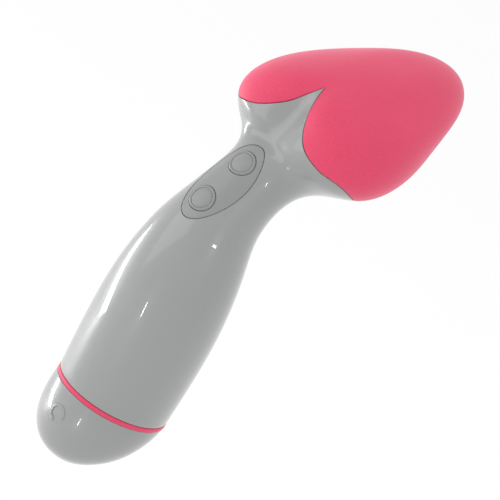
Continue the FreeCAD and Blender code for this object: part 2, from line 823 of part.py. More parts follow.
board = new_body("circuit_board")
board_sketch = new_sketch(board, "board_outline")
rectangle(board_sketch, -s.board_half_width, -s.board_half_length,
          s.board_half_width, s.board_half_length)
pad(board, board_sketch, s.board_thick)
doc.recompute()
board_holes = new_sketch(board, "board_holes")
for along in post_places:
    circle(board_holes, 0, along, s.post_screw_radius + s.hole_gap)
pocket(board, board_holes, s.board_thick)
doc.recompute()
drilled = board.Tip
upright = []
for i, edge in enumerate(drilled.Shape.Edges):
    ends = [abs(vertex.X) for vertex in edge.Vertexes]
    if len(ends) == 2 and edge.Length < 1.01 * float(s.board_thick) and min(ends) > 4:
        upright.append(f"Edge{i + 1}")
corners = board.newObject("PartDesign::Fillet", "board_corners")
corners.Base = (drilled, upright)
corners.Radius = 2.0
seat_keypad_piece(board, 0, s.board_depth + s.board_thick)

board_back = s.board_depth + s.board_thick
screws = []
for along in post_places:
    shank = keypad_rod(s.post_screw_radius, 0, along, s.board_depth - 4.5, board_back)
    head = keypad_rod(s.screw_head_radius * 0.9, 0, along, board_back, board_back + 1.2)
    screws.append(shank.fuse(head).removeSplitter())
solid_node("board_screws", Part.makeCompound(screws))

chip = doc.addObject("Part::Box", "controller_chip")
chip.setExpression("Length", s.chip_side.text)
chip.setExpression("Width", s.chip_side.text)
chip.setExpression("Height", s.chip_thick.text)
node(chip, "controller_chip")
chip.Placement = keypad_seat.multiply(
    Placement(vec(-s.chip_side / 2, -s.chip_side - 1, -board_back - s.chip_thick), Rotation()))

capacitor = doc.addObject("Part::Cylinder", "capacitor")
capacitor.setExpression("Radius", s.capacitor_radius.text)
capacitor.setExpression("Height", s.capacitor_length.text)
node(capacitor, "capacitor")
lying = Rotation(Vector(0, 1, 0), 90)
capacitor.Placement = keypad_seat.multiply(
    Placement(vec(-s.capacitor_length / 2, 6, -board_back - s.capacitor_radius), lying))

# ------------------------------------------------------------ motor
motor_z = shoulder + float(s.motor_height)
along_y = Rotation(Vector(1, 0, 0), -90)
motor_axis_z = up(s.barrel_length + s.motor_height)
inner_can = s.motor_radius - s.motor_wall

can = turned("motor_can", [
    (inner_can, 0),
    (s.motor_radius, 0),
    (s.motor_radius, s.motor_length),
    (s.shaft_radius + s.shaft_gap, s.motor_length),
    (s.shaft_radius + s.shaft_gap, s.motor_length - s.motor_wall * 1.5),
    (inner_can, s.motor_length - s.motor_wall * 1.5),
])
place(can, 0, s.motor_start, motor_axis_z, along_y)

bell = turned("motor_end_bell", [
    (s.shaft_radius + s.shaft_gap, -s.bell_thick),
    (s.motor_radius, -s.bell_thick),
    (s.motor_radius, 0),
    (inner_can - s.face_gap, 0),
    (inner_can - s.face_gap, s.bell_thick),
    (s.shaft_radius + s.shaft_gap, s.bell_thick),
])
place(bell, 0, s.motor_start, motor_axis_z, along_y)

core_start = s.motor_start + s.bell_thick + 3.0
magnets = []
for start in (-50.0, 130.0):
    arc = Part.makeCylinder(float(inner_can) - 0.02, float(s.armature_length), Vector(0, 0, 0),
                            Vector(0, 0, 1), 100.0)
    arc.rotate(Vector(0, 0, 0), Vector(0, 0, 1), start)
    bore = Part.makeCylinder(float(inner_can - s.magnet_thick), float(s.armature_length))
    arc = arc.cut(bore)
    arc.rotate(Vector(0, 0, 0), Vector(1, 0, 0), -90)
    arc.translate(vec(0, core_start, motor_axis_z))
    magnets.append(arc)
solid_node("motor_magnets", Part.makeCompound(magnets))

armature = new_body("motor_armature")
stack = new_sketch(armature, "armature_stack")
circle(stack, 0, 0, s.armature_radius)
circle(stack, 0, 0, s.shaft_radius)
pad(armature, stack, s.armature_length)
doc.recompute()
slot_sketch = new_sketch(armature, "armature_slot")
rectangle(slot_sketch, s.armature_radius * 0.45, -s.motor_wall, s.armature_radius + 1,
          s.motor_wall)
winding_slot = pocket(armature, slot_sketch, s.armature_length)
doc.recompute()
slots = armature.newObject("PartDesign::PolarPattern", "armature_slots")
slots.Originals = [winding_slot]
slots.Axis = (slot_sketch, ["N_Axis"])
slots.Angle = 360
slots.Occurrences = 3
armature.Tip = slots
place(armature, 0, core_start, motor_axis_z, along_y)

shaft = doc.addObject("Part::Cylinder", "motor_shaft")
shaft.setExpression("Radius", s.shaft_radius.text)
shaft.setExpression("Height", (s.motor_length + s.shaft_reach + s.bell_thick).text)
node(shaft, "motor_shaft")
place(shaft, 0, s.motor_start - s.bell_thick, motor_axis_z, along_y)

# The weight is a half disc, heavy side down at rest, with a round hub.
weight = new_body("eccentric_weight")
hub_sketch = new_sketch(weight, "weight_hub")
circle(hub_sketch, 0, 0, s.weight_hub)
circle(hub_sketch, 0, 0, s.shaft_radius)
pad(weight, hub_sketch, s.weight_length)
doc.recompute()
disc_sketch = new_sketch(weight, "weight_disc")
circle(disc_sketch, 0, 0, s.weight_radius)
circle(disc_sketch, 0, 0, s.weight_hub - 0.4)
pad(weight, disc_sketch, s.weight_length)
doc.recompute()
trim_sketch = new_sketch(weight, "weight_trim")
outline(trim_sketch, [(-s.weight_radius - 1, -s.weight_hub - 6.5),
                      (s.weight_radius + 1, -s.weight_hub - 6.5),
                      (s.weight_radius + 1, -0.5), (s.weight_hub, -0.5),
                      (s.weight_hub, -s.weight_hub), (-s.weight_hub, -s.weight_hub),
                      (-s.weight_hub, -0.5), (-s.weight_radius - 1, -0.5)])
pocket(weight, trim_sketch, s.weight_length)
doc.recompute()
place(weight, 0, motor_end + s.weight_stand, motor_axis_z, along_y)

sleeve_outer = s.motor_radius + s.sleeve_gap + s.sleeve_thick
sleeve = turned("motor_sleeve", tube_profile(
    s.motor_radius + s.sleeve_gap, sleeve_outer, 1.0, s.motor_length - 1.0))
place(sleeve, 0, s.motor_start, motor_axis_z, along_y)

trough = float(s.trough_radius)
cradle = box(-wide, wide, cradle_front, cradle_back, cradle_foot, motor_z - 5.0)
strap_y0 = float(s.motor_start + s.strap_start)
strap_y1 = strap_y0 + float(s.strap_width)
span = float(s.ear_half_span)
ear_top = motor_z + 1.0
cradle = cradle.fuse(box(-span, span, strap_y0, strap_y1, ear_top - float(s.ear_depth), ear_top))
cradle = cradle.cut(barrel_along_y(trough, cradle_front - 1, cradle_back + 1, motor_z))
strap_x = (trough + float(s.strap_thick) + span) / 2
for y in cradle_screw_places:
    cradle = cradle.cut(cylinder(s.screw_radius + s.hole_gap, cradle_foot - 1,
                                 cradle_foot + 9, 0, y))
    cradle = cradle.cut(cylinder(s.screw_head_radius + s.hole_gap, cradle_foot + 2.2,
                                 cradle_foot + 9, 0, y))
strap_y = (strap_y0 + strap_y1) / 2
for side in (-1, 1):
    cradle = cradle.cut(cylinder(pilot, ear_top - 7.5, ear_top + 1, side * strap_x, strap_y))
solid_node("motor_cradle", cradle.removeSplitter())

screws = []
for y in cradle_screw_places:
    screws.append(screw(0, y, cradle_foot + 2.2, 1.9 + float(s.cradle_screw_depth),
                        s.screw_radius, s.screw_head_radius, s.screw_head * 0.9))
solid_node("cradle_screws", Part.makeCompound(screws))

strap_outer = trough + float(s.strap_thick)
lug_top = ear_top + float(s.strap_lug)
strap = barrel_along_y(strap_outer, strap_y0, strap_y1, motor_z)
strap = strap.fuse(box(-span, span, strap_y0, strap_y1, ear_top, lug_top))
strap = strap.cut(barrel_along_y(trough, strap_y0 - 1, strap_y1 + 1, motor_z))
strap = strap.cut(box(-span - 1, span + 1, strap_y0 - 1, strap_y1 + 1, ear_top - 40, ear_top))
for side in (-1, 1):
    strap = strap.cut(cylinder(s.screw_radius + s.hole_gap, ear_top - 1, lug_top + 1,
                               side * strap_x, strap_y))
solid_node("motor_strap", strap.removeSplitter())

screws = []
for side in (-1, 1):
    screws.append(screw(side * strap_x, strap_y, lug_top, float(s.strap_lug) + 6.5,
                        s.screw_radius, s.screw_head_radius, s.screw_head))
solid_node("strap_screws", Part.makeCompound(screws))

# ------------------------------------------------------------ battery bay
holder_top = s.cell_foot + s.cell_length + s.contact_rise + s.holder_roof
bore_radius = s.cell_radius + s.cell_gap
half_spacing = s.cell_spacing / 2
holder_height = holder_top - s.holder_foot
holder = new_body("battery_holder")
# Two round barrels, a web between them and an ear at the front and back.
web_sketch = new_sketch(holder, "holder_web")
rectangle(web_sketch, -half_spacing, -bore_radius - s.holder_wall, half_spacing,
          bore_radius + s.holder_wall)
pad(holder, web_sketch, holder_height)
doc.recompute()
for side, name in ((-1, "left"), (1, "right")):
    round_sketch = new_sketch(holder, f"holder_{name}")
    circle(round_sketch, half_spacing * side, 0, bore_radius + s.holder_wall)
    pad(holder, round_sketch, holder_height)
    doc.recompute()
for side, name in ((-1, "front"), (1, "back")):
    ear_sketch = new_sketch(holder, f"holder_ear_{name}")
    near = (bore_radius + s.holder_wall - 1) * side
    rectangle(ear_sketch, -s.boss_radius, near, s.boss_radius, s.ear_offset * side)
    pad(holder, ear_sketch, s.ear_thick)
    doc.recompute()
    tip_sketch = new_sketch(holder, f"holder_tip_{name}")
    circle(tip_sketch, 0, s.ear_offset * side, s.boss_radius)
    pad(holder, tip_sketch, s.ear_thick)
    doc.recompute()
screw_holes = new_sketch(holder, "holder_screw_holes")
for side in (-1, 1):
    circle(screw_holes, 0, s.ear_offset * side, s.screw_radius + s.hole_gap)
pocket(holder, screw_holes, s.ear_thick)
doc.recompute()
# The left cell stands positive end up, so its bore stops at its contact.
contact_foot = s.cell_foot + s.cell_length + s.face_gap
left_bore = new_sketch(holder, "holder_left_bore")
circle(left_bore, -half_spacing, 0, bore_radius)
pocket(holder, left_bore, contact_foot + s.contact_thick - s.holder_foot)
doc.recompute()
right_bore = new_sketch(holder, "holder_right_bore")
circle(right_bore, half_spacing, 0, bore_radius)
pocket(holder, right_bore, holder_height - s.holder_roof)
doc.recompute()
lead_holes = new_sketch(holder, "holder_lead_holes")
for side in (-1, 1):
    circle(lead_holes, half_spacing * side, 0, s.lead_radius + s.face_gap)
pocket(holder, lead_holes, holder_height)
doc.recompute()
place(holder, 0, 0, up(s.holder_foot))

screws = []
for sense in (-1, 1):
    screws.append(screw(0, sense * float(s.ear_offset), s.holder_foot, float(s.ear_thick) + 8.5,
                        s.screw_radius, s.screw_head_radius, s.screw_head, -1))
solid_node("holder_screws", Part.makeCompound(screws))

cell_body = s.cell_length - s.nub_height
cell_profile = [
    (0, 0),
    (s.cell_radius * 0.9, 0),
    (s.cell_radius, s.nub_height * 0.5),
    (s.cell_radius, cell_body - s.nub_height * 0.5),
    (s.cell_radius * 0.9, cell_body),
    (s.nub_radius, cell_body),
    (s.nub_radius, s.cell_length),
    (0, s.cell_length),
]
left_cell = turned("battery_left", cell_profile)
place(left_cell, -half_spacing, 0, up(s.cell_foot))
right_cell = turned("battery_right", cell_profile)
place(right_cell, half_spacing, 0, up(s.cell_foot + s.cell_length), Rotation(Vector(1, 0, 0), 180))

contact = doc.addObject("Part::Cylinder", "positive_contact")
contact.setExpression("Radius", (s.cell_radius - 1).text)
contact.setExpression("Height", s.contact_thick.text)
node(contact, "positive_contact")
place(contact, -half_spacing, 0, up(contact_foot))

# Compression spring against the negative end of the right cell.
spring_foot = float(s.cell_foot + s.cell_length) + 0.45
spring_rise = float(s.contact_rise) - 0.9
SPRING_COIL = 3.2
SPRING_WIRE = 0.4
helix = Part.makeHelix(spring_rise / 3.0, spring_rise, SPRING_COIL)
spring_seat = vec(half_spacing, 0, up(spring_foot))
helix.translate(spring_seat)
wire_profile = Part.Wire([Part.makeCircle(SPRING_WIRE, spring_seat + Vector(SPRING_COIL, 0, 0),
                                          Vector(0, 1, 0.18))])
spring = Part.Wire(helix.Edges).makePipeShell([wire_profile], True, True)
solid_node("negative_spring", spring)

# ------------------------------------------------------------ end cap
cap_top = -float(ring_top)
spigot_radius = s.collar_bore - s.spigot_gap
cap_bore = spigot_radius - s.spigot_wall
plate_foot = float(s.cell_foot - s.plate_thick) - 0.1
cap = cap_skin(0).cut(cylinder(60, cap_top, 10))
cap = cap.fuse(cylinder(spigot_radius, cap_top - 1, s.spigot_height))
for i in range(3):
    start = 30.0 + 120.0 * i - float(s.lug_angle) / 2
    lug = sector(spigot_radius - s.spigot_wall, lug_radius, s.lug_floor,
                 s.lug_floor + s.lug_height, start, s.lug_angle)
    cap = cap.fuse(lug)
hollow = cap_skin(s.wall).common(cylinder(cap_bore - s.plate_rest, -60, plate_foot))
cap = cap.cut(hollow)
cap = cap.cut(cylinder(cap_bore, plate_foot, 40))
groove = cylinder(spigot_radius + 1, s.groove_floor, s.groove_floor + s.groove_height)
groove = groove.cut(cylinder(spigot_radius - s.groove_depth, 0, 20))
cap = cap.cut(groove)

# Raised turning mark on the front of the cap: an open ring with an arrowhead.
MARK_DROP = 9.5
mark = Part.makeCylinder(3.3, 30, vec(0, -40, up(-MARK_DROP)), Vector(0, 1, 0), 285)
mark = mark.cut(Part.makeCylinder(2.5, 32, vec(0, -41, up(-MARK_DROP)), Vector(0, 1, 0)))
head_points = [vec(1.4, -40, up(-MARK_DROP)), vec(4.4, -40, up(-MARK_DROP)),
               vec(2.9, -40, up(-MARK_DROP - 2.1)), vec(1.4, -40, up(-MARK_DROP))]
arrow = Part.Face(Part.makePolygon(head_points)).extrude(Vector(0, 30, 0))
mark = mark.fuse(arrow).common(cap_skin(-0.35)).cut(cap_skin(0.3))
cap = cap.fuse(mark)
solid_node("end_cap", cap)

ring = turned("seal_ring", tube_profile(
    spigot_radius + s.face_gap, s.barrel_radius + s.ring_proud, -s.ring_width / 2,
    s.ring_width / 2 - s.face_gap))
place(ring, 0, 0, up(0))

oring = doc.addObject("Part::Torus", "cap_o_ring")
oring_centre = spigot_radius - s.groove_depth + s.oring_section + 0.02
oring.setExpression("Radius1", oring_centre.text)
oring.setExpression("Radius2", s.oring_section.text)
node(oring, "cap_o_ring")
place(oring, 0, 0, up(s.groove_floor + s.groove_height / 2))

bridge = doc.addObject("Part::Cylinder", "bridge_plate")
bridge.setExpression("Radius", (cap_bore - 0.1).text)
bridge.setExpression("Height", s.plate_thick.text)
node(bridge, "bridge_plate")
place(bridge, 0, 0, up(plate_foot))

# ------------------------------------------------------------ wiring
board_level = -(board_back + s.lead_radius)
motor_leads = []
battery_leads = []
for side in (-1, 1):
    pad_up = keypad_seat.multVec(vec(5.5 * side, 18.6, -board_back))
    away = pad_up - keypad_out * 2.6
    terminal = vec(3.6 * side, s.motor_start - s.bell_thick, motor_axis_z)
    turn_point = terminal - Vector(0, 4.2, 0)
    motor_leads.append(lead([pad_up, away, turn_point, terminal], s.lead_radius))
    pad_down = keypad_seat.multVec(vec(5.5 * side, -18.6, -board_back))
    near = pad_down - keypad_out * 2.6
    post_foot = vec(half_spacing * side, 0, up(holder_top - s.holder_roof * 0.6))
    post_rise = post_foot + Vector(0, 0, 5.0)
    battery_leads.append(lead([post_foot, post_rise, near, pad_down], s.lead_radius))
solid_node("motor_leads", Part.makeCompound(motor_leads))
solid_node("battery_leads", Part.makeCompound(battery_leads))

# ------------------------------------------------------------ check and write
doc.recompute()
for obj in doc.Objects:
    if "Invalid" in obj.State or "Error" in obj.State:
        raise RuntimeError(f"{obj.Name} failed: {obj.State}")
for obj in nodes:
    if obj.Shape.isNull() or not obj.Shape.isValid():
        raise RuntimeError(f"{obj.Label} has no valid shape")
    if not obj.Shape.Solids:
        raise RuntimeError(f"{obj.Label} has no solid")
for obj in nodes:
    obj.Shape.exportStep(f"parts/{obj.Label}.step")
    print(f"{obj.Label:18s} solids {len(obj.Shape.Solids)} volume {obj.Shape.Volume:9.1f}")
print("nodes", len(nodes))
print("keypad tilt", round(keypad_tilt, 2), "origin", keypad_origin, "out", keypad_out)
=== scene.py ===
# %% [markdown]
# # A handheld wand massager
# The real thing is a glossy grey handle that holds two cells, a neck that bends back, and a
# soft pink massage head shaped like a heart.  The engineering model already holds every piece
# at its true size.  This notebook keeps that frame and gives the pieces you can see their
# finished surfaces: moulded gloss, matte silicone, a satin keypad.

# %% Load the engineering model
import json
import math

import bmesh
import bpy
import numpy as np
from mathutils import Matrix, Vector


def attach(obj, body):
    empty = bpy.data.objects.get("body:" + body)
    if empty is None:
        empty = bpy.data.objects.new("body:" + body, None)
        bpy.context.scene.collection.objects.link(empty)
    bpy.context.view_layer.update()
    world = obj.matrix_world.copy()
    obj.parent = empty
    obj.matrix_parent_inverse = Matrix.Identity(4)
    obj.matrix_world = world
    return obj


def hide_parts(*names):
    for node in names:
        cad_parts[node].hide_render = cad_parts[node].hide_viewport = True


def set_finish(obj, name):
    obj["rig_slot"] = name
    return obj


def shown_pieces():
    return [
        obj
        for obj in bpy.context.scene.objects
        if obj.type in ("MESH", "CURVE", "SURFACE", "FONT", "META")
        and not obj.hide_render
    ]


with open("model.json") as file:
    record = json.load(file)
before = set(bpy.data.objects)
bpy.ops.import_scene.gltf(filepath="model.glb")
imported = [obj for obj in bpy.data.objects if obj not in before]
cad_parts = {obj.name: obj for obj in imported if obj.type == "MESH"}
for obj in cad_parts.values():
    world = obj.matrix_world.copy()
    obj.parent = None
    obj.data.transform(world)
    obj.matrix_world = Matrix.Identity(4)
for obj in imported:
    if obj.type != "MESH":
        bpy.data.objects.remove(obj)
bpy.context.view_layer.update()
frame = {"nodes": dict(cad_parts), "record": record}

MM = 0.001

# %% [markdown]
# ## The camera
# A product picture is usually taken from far away with a long lens, so that the near and the
# far end keep the same scale.  The handle leans to the right in the view, which is the camera
# rolled about its own line of sight.  Three directions say it all: where the handle's
# +X, +Y and +Z point in the picture.  They make the camera's turn directly.

# %% Camera
GRIP_HEIGHT = 45.0          # the frame's origin is this far above the ring plane
CAMERA_DISTANCE = 1500.0
FIELD = 172.0               # what the picture spans at the ring, in millimetres
TURN, LOOK_DOWN, LEAN = (math.radians(v) for v in (35.0, 19.0, 58.6))


def picture_axes(turn, look_down, lean):
    """Rows: the object's X, Y and Z seen as picture right, picture up, towards the viewer."""
    along = np.array([math.cos(lean), math.sin(lean), 0.0])
    across = np.array([-math.sin(lean), math.cos(lean), 0.0])
    nearer = np.array([0.0, 0.0, 1.0])
    up = math.cos(look_down) * along + math.sin(look_down) * nearer
    level = -math.sin(look_down) * along + math.cos(look_down) * nearer
    front = math.sin(turn) * across + math.cos(turn) * level
    right = -math.cos(turn) * across + math.sin(turn) * level
    return np.array([right, -front, up])


axes = picture_axes(TURN, LOOK_DOWN, LEAN)
camera_turn = Matrix([list(row) for row in axes])
aim = Vector((0, 0, -GRIP_HEIGHT)) + camera_turn @ Vector((47.2, 49.5, 0))
camera = bpy.data.objects.new("studio_camera", bpy.data.cameras.new("studio_camera"))
bpy.context.scene.collection.objects.link(camera)
bpy.context.scene.camera = camera
camera.data.sensor_width = 36.0
camera.data.lens = 36.0 * CAMERA_DISTANCE / FIELD
camera.data.clip_end = 20.0
camera.rotation_mode = "QUATERNION"
camera.rotation_quaternion = camera_turn.to_quaternion()
camera.location = (aim + camera_turn @ Vector((0, 0, CAMERA_DISTANCE))) * MM
print("camera at", [round(v, 3) for v in camera.location], "lens", round(camera.data.lens))

# %% [markdown]
# ## The shape of the outside
# The handle and head are one flowing form.  A designer draws it as a stack of sections: ovals in
# the barrel and neck that turn into hearts in the head.  Each section is known by its front and
# back middle points, its half width, and how much of a heart it is.  Between two sections the
# numbers follow a curve that bends without a break, so that gloss shows no kinks.

# %% Curves through given numbers
def spline(xs, ys, at):
    """A cubic curve through the points, with no break in its bend."""
    xs, ys = np.asarray(xs, float), np.asarray(ys, float)
    count, step = len(xs), np.diff(xs)
    rise = np.diff(ys, axis=0) / step.reshape((-1,) + (1,) * (ys.ndim - 1))
    matrix, side = np.zeros((count, count)), np.zeros_like(ys)
    matrix[0, :2], side[0] = (2, 1), 3 * rise[0]
    matrix[-1, -2:], side[-1] = (1, 2), 3 * rise[-1]
    for i in range(1, count - 1):
        matrix[i, i - 1:i + 2] = step[i], 2 * (step[i - 1] + step[i]), step[i - 1]
        side[i] = 3 * (rise[i - 1] * step[i] + rise[i] * step[i - 1])
    slope = np.linalg.solve(matrix, side)
    at = np.clip(np.asarray(at, float), xs[0], xs[-1])
    low = np.clip(np.searchsorted(xs, at, side="right") - 1, 0, count - 2)
    width = xs[low + 1] - xs[low]
    t = (at - xs[low]) / width
    if ys.ndim > 1:
        t, width = t[..., None], width[..., None]
    return ((2 * t**3 - 3 * t**2 + 1) * ys[low] + (t**3 - 2 * t**2 + t) * width * slope[low]
            + (3 * t**2 - 2 * t**3) * ys[low + 1] + (t**3 - t**2) * width * slope[low + 1])


# %% Sections of the body and of the end cap, in millimetres above the ring
SHOULDER = 71.0
BODY = np.array([
    # front y, front z, back y, back z, half width, heart, narrowing, cleft
    (-21.00, 0.00, 21.00, 0.00, 21.0, 0.00, 0.00, 0.0),
    (-22.30, 13.99, 21.11, 13.99, 21.6, 0.00, 0.00, 0.0),
    (-23.31, 27.97, 20.90, 27.97, 21.9, 0.00, 0.00, 0.0),
    (-23.60, 42.53, 19.91, 40.97, 21.5, 0.00, 0.00, 0.0),
    (-22.30, 57.01, 18.21, 52.97, 20.0, 0.00, 0.00, 0.0),
    (-19.19, 71.00, 16.30, 62.48, 17.6, 0.00, 0.00, 0.0),
    (-14.5, 82.4, 15.2, 71.0, 14.7, 0.00, 0.00, 0.0),
    (-8.9, 92.1, 16.4, 79.5, 13.2, 0.00, 0.00, 0.0),
    (-3.9, 99.7, 20.5, 87.8, 13.5, 0.00, 0.00, 0.0),
    (-0.4, 104.0, 29.3, 94.3, 18.3, 0.10, 0.05, 0.4),
    (1.1, 106.5, 45.6, 99.1, 26.6, 0.19, 0.12, 1.4),
    (1.3, 110.4, 62.8, 105.6, 31.5, 0.29, 0.20, 2.4),
    (2.4, 115.3, 75.3, 115.9, 32.8, 0.36, 0.25, 3.0),
    (4.1, 120.4, 80.6, 126.3, 31.2, 0.34, 0.24, 3.2),
    (6.4, 125.4, 81.6, 134.1, 27.9, 0.24, 0.16, 3.0),
    (10.3, 129.6, 79.6, 139.9, 23.1, 0.12, 0.08, 2.2),
    (16.6, 133.2, 74.6, 144.6, 17.3, 0.04, 0.03, 1.1),
    (24.6, 136.8, 65.8, 146.8, 11.5, 0.00, 0.00, 0.3),
    (33.8, 140.2, 54.5, 145.8, 5.9, 0.00, 0.00, 0.0),
    (43.2, 143.1, 45.0, 143.5, 0.7, 0.00, 0.00, 0.0),
])
CAP = np.array([
    (-21.00, 0.00, 21.00, 0.00, 21.00, 0.0, 0.0, 0.0),
    (-21.69, -5.49, 19.59, -4.01, 20.90, 0.0, 0.0, 0.0),
    (-21.90, -12.00, 16.51, -9.01, 19.80, 0.0, 0.0, 0.0),
    (-20.90, -18.00, 11.51, -14.80, 17.20, 0.0, 0.0, 0.0),
    (-18.21, -22.81, 5.00, -19.80, 12.81, 0.0, 0.0, 0.0),
    (-13.50, -25.69, -2.00, -24.21, 6.99, 0.0, 0.0, 0.0),
    (-8.51, -26.90, -7.39, -26.90, 0.50, 0.0, 0.0, 0.0),
])
CLEFT_WIDTH = 6.0
FINE = np.linspace(0, 2 * np.pi, 121)


def heart_oval(angle, heart, narrow):
    """Unit outline from the cleft at angle 0 round to the point at pi."""
    cos, sin = np.cos(angle), np.sin(angle)
    crest = 13 * cos - 5 * np.cos(2 * angle) - 2 * np.cos(3 * angle) - np.cos(4 * angle) + 2.5
    across = (1 - heart) * sin * (1 + narrow * cos) + heart * sin**3
    along = -((1 - heart) * cos + heart * crest / 14.5)
    return across, along


def skin(table, angle, place):
    """Points of the outside, in millimetres of the frame."""
    angle, place = np.broadcast_arrays(angle, place)
    rows = spline(np.arange(len(table)), table, place)
    front_y, front_z, back_y, back_z, half_width, heart, narrow, cleft = np.moveaxis(
        rows, -1, 0)
    across, along = heart_oval(angle, heart, narrow)
    fine_across, fine_along = heart_oval(FINE, heart[..., None], narrow[..., None])
    first, last = fine_along.min(-1), fine_along.max(-1)
    share = (along - first) / (last - first)
    x = across / fine_across.max(-1) * half_width
    groove = cleft * np.exp(-(x / CLEFT_WIDTH) ** 2) * (1 - share) ** 2
    return np.stack([x, front_y + (back_y - front_y) * share + groove,
                     front_z + (back_z - front_z) * share - GRIP_HEIGHT], -1)


def skin_steps(table, angle, place, step=0.01):
    """How the skin runs round (per radian) and along (per section)."""
    top = len(table) - 1.0
    ahead, behind = np.minimum(place + step, top), np.maximum(place - step, 0.0)
    round_it = (skin(table, angle + step, place) - skin(table, angle - step, place)) / (2 * step)
    onward = ((skin(table, angle, ahead) - skin(table, angle, behind))
              / (ahead - behind)[..., None])
    return round_it, onward


def unit(vectors):
    return vectors / np.maximum(np.linalg.norm(vectors, axis=-1, keepdims=True), 1e-9)


def skin_out(table, angle, place):
    """Outward directions."""
    angle, place = np.broadcast_arrays(angle, place)
    round_it, onward = skin_steps(table, angle, place)
    rising = 1.0 if table[-1, 1] > 0 else -1.0
    return unit(np.cross(round_it, onward)) * rising


def under_skin(table, angle, place, depth):
    """Points at a depth under the outside."""
    depth = np.asarray(depth, float)
    return skin(table, angle, place) - skin_out(table, angle, place) * depth[..., None]


print("barrel", 2 * BODY[2, 4], "mm wide, head", 2 * BODY[12, 4], "mm wide")

# %% [markdown]
# ## Pulling a form from loops
# A bmesh starts as one circle.  Its edge loop is extruded again and again, and each new loop is
# moved to its section, which is how a lofted form is pulled up by hand in the editor.  The last
# loop closes to a point, or is bridged back to the first one.  It is used for every piece whose
# sections change, because a lathe can only make round ones.

# %% The loop puller
def pull_loops(loops, ends="points"):
    """A closed bmesh through rings of points in millimetres.

    ends: "points" merges the first and last loop into one vertex each, "ring" bridges the last
    loop to the first, "faces" fills both.
    """
    bm = bmesh.new()
    made = bmesh.ops.create_circle(bm, segments=len(loops[0]), radius=0.01)
    first = ring = list(made["verts"])
    for vert, point in zip(ring, loops[0]):
        vert.co = Vector(point) * MM
    count = len(ring)
    for points in loops[1:]:
        edges = [bm.edges.get((ring[i - 1], ring[i])) for i in range(count)]
        raised = bmesh.ops.extrude_edge_only(bm, edges=edges)
        fresh = {g for g in raised["geom"] if isinstance(g, bmesh.types.BMVert)}
        ring = [next(e.other_vert(v) for e in v.link_edges if e.other_vert(v) in fresh)
                for v in ring]
        for vert, point in zip(ring, points):
            vert.co = Vector(point) * MM
    if ends == "points":
        for loop in (first, ring):
            middle = sum((v.co for v in loop), Vector()) / count
            bmesh.ops.pointmerge(bm, verts=loop, merge_co=middle)
    elif ends == "ring":
        edges = [bm.edges.get((loop[i - 1], loop[i])) for loop in (first, ring)
                 for i in range(count)]
        bmesh.ops.bridge_loops(bm, edges=edges)
    else:
        bmesh.ops.holes_fill(bm, edges=[e for e in bm.edges if e.is_boundary], sides=0)
    return bm


def finish_piece(bm, name, body, stands_for=(), finish=None, sharp=40.0):
    """Turn a bmesh into a shaded object that rides on a body of the frame."""
    bmesh.ops.recalc_face_normals(bm, faces=bm.faces)
    for face in bm.faces:
        face.smooth = True
    for edge in bm.edges:
        if edge.is_manifold and edge.calc_face_angle(0.0) > math.radians(sharp):
            edge.smooth = False
    open_edges = sum(not e.is_manifold for e in bm.edges)
    mesh = bpy.data.meshes.new(name)
    bm.to_mesh(mesh)
    bm.free()
    piece = bpy.data.objects.new(name, mesh)
    bpy.context.scene.collection.objects.link(piece)
    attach(piece, body)
    if stands_for:
        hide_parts(*stands_for)
    if finish:
        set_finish(piece, finish)
    print(f"{name}: {len(mesh.polygons)} faces, {open_edges} open edges")
    return piece


def cut_away(piece, cutter_bm):
    """Cut a hole with a closed form, as a boolean in the editor does."""
    bmesh.ops.recalc_face_normals(cutter_bm, faces=cutter_bm.faces)
    mesh = bpy.data.meshes.new("cutter")
    cutter_bm.to_mesh(mesh)
    cutter_bm.free()
    cutter = bpy.data.objects.new("cutter", mesh)
    bpy.context.scene.collection.objects.link(cutter)
    boolean = piece.modifiers.new("cut", "BOOLEAN")
    boolean.operation = "DIFFERENCE"
    boolean.solver = "EXACT"
    boolean.object = cutter
    dg = bpy.context.evaluated_depsgraph_get()
    done = bpy.data.meshes.new_from_object(piece.evaluated_get(dg))
    piece.modifiers.clear()
    bm = bmesh.new()
    bm.from_mesh(done)
    for face in bm.faces:
        face.smooth = True
    for edge in bm.edges:
        edge.smooth = not (edge.is_manifold and edge.calc_face_angle(0.0) > math.radians(32))
    bm.to_mesh(piece.data)
    bm.free()
    bpy.data.objects.remove(cutter)
    print(f"{piece.name}: cut, {len(piece.data.polygons)} faces")


# Columns are closer together at the front, where the keypad and the cleft are.
COLUMNS = 240
turns = np.arange(COLUMNS) / COLUMNS * 2 * np.pi
ANGLES = turns - 0.55 * np.sin(turns)
print("columns", COLUMNS)

# %% [markdown]
# ## The seam of the head
# Seen from the side the seam dips under the lobes and rises to the point.  Seen from the front a
# tongue of the handle rises into the cleft and ends in a sharp tip.  On each column the seam is
# found by halving, and then every loop near it can run parallel to it.

# %% Finding the seam
SEAM_SIDE = np.array([(-40.0, 40.0), (-20.0, 40.0), (0.0, 38.5), (9.0, 38.0), (15.0, 36.0),
                      (24.0, 32.4), (34.0, 31.4), (45.0, 32.6), (60.0, 36.5), (84.0, 45.5),
                      (110.0, 56.0)])
SEAM_TONGUE = np.array([(0.0, 59.2), (1.9, 54.9), (3.8, 51.0), (6.2, 47.9), (9.2, 45.1),
                        (13.0, 42.4), (19.0, 39.8), (23.0, 38.0), (26.0, 35.0), (28.0, 31.0),
                        (40.0, 1.0)])
TONGUE_BACK = 20.0          # behind this depth only the side line counts
SEAM_BLEND = 0.8            # rounds the corner where the two lines meet


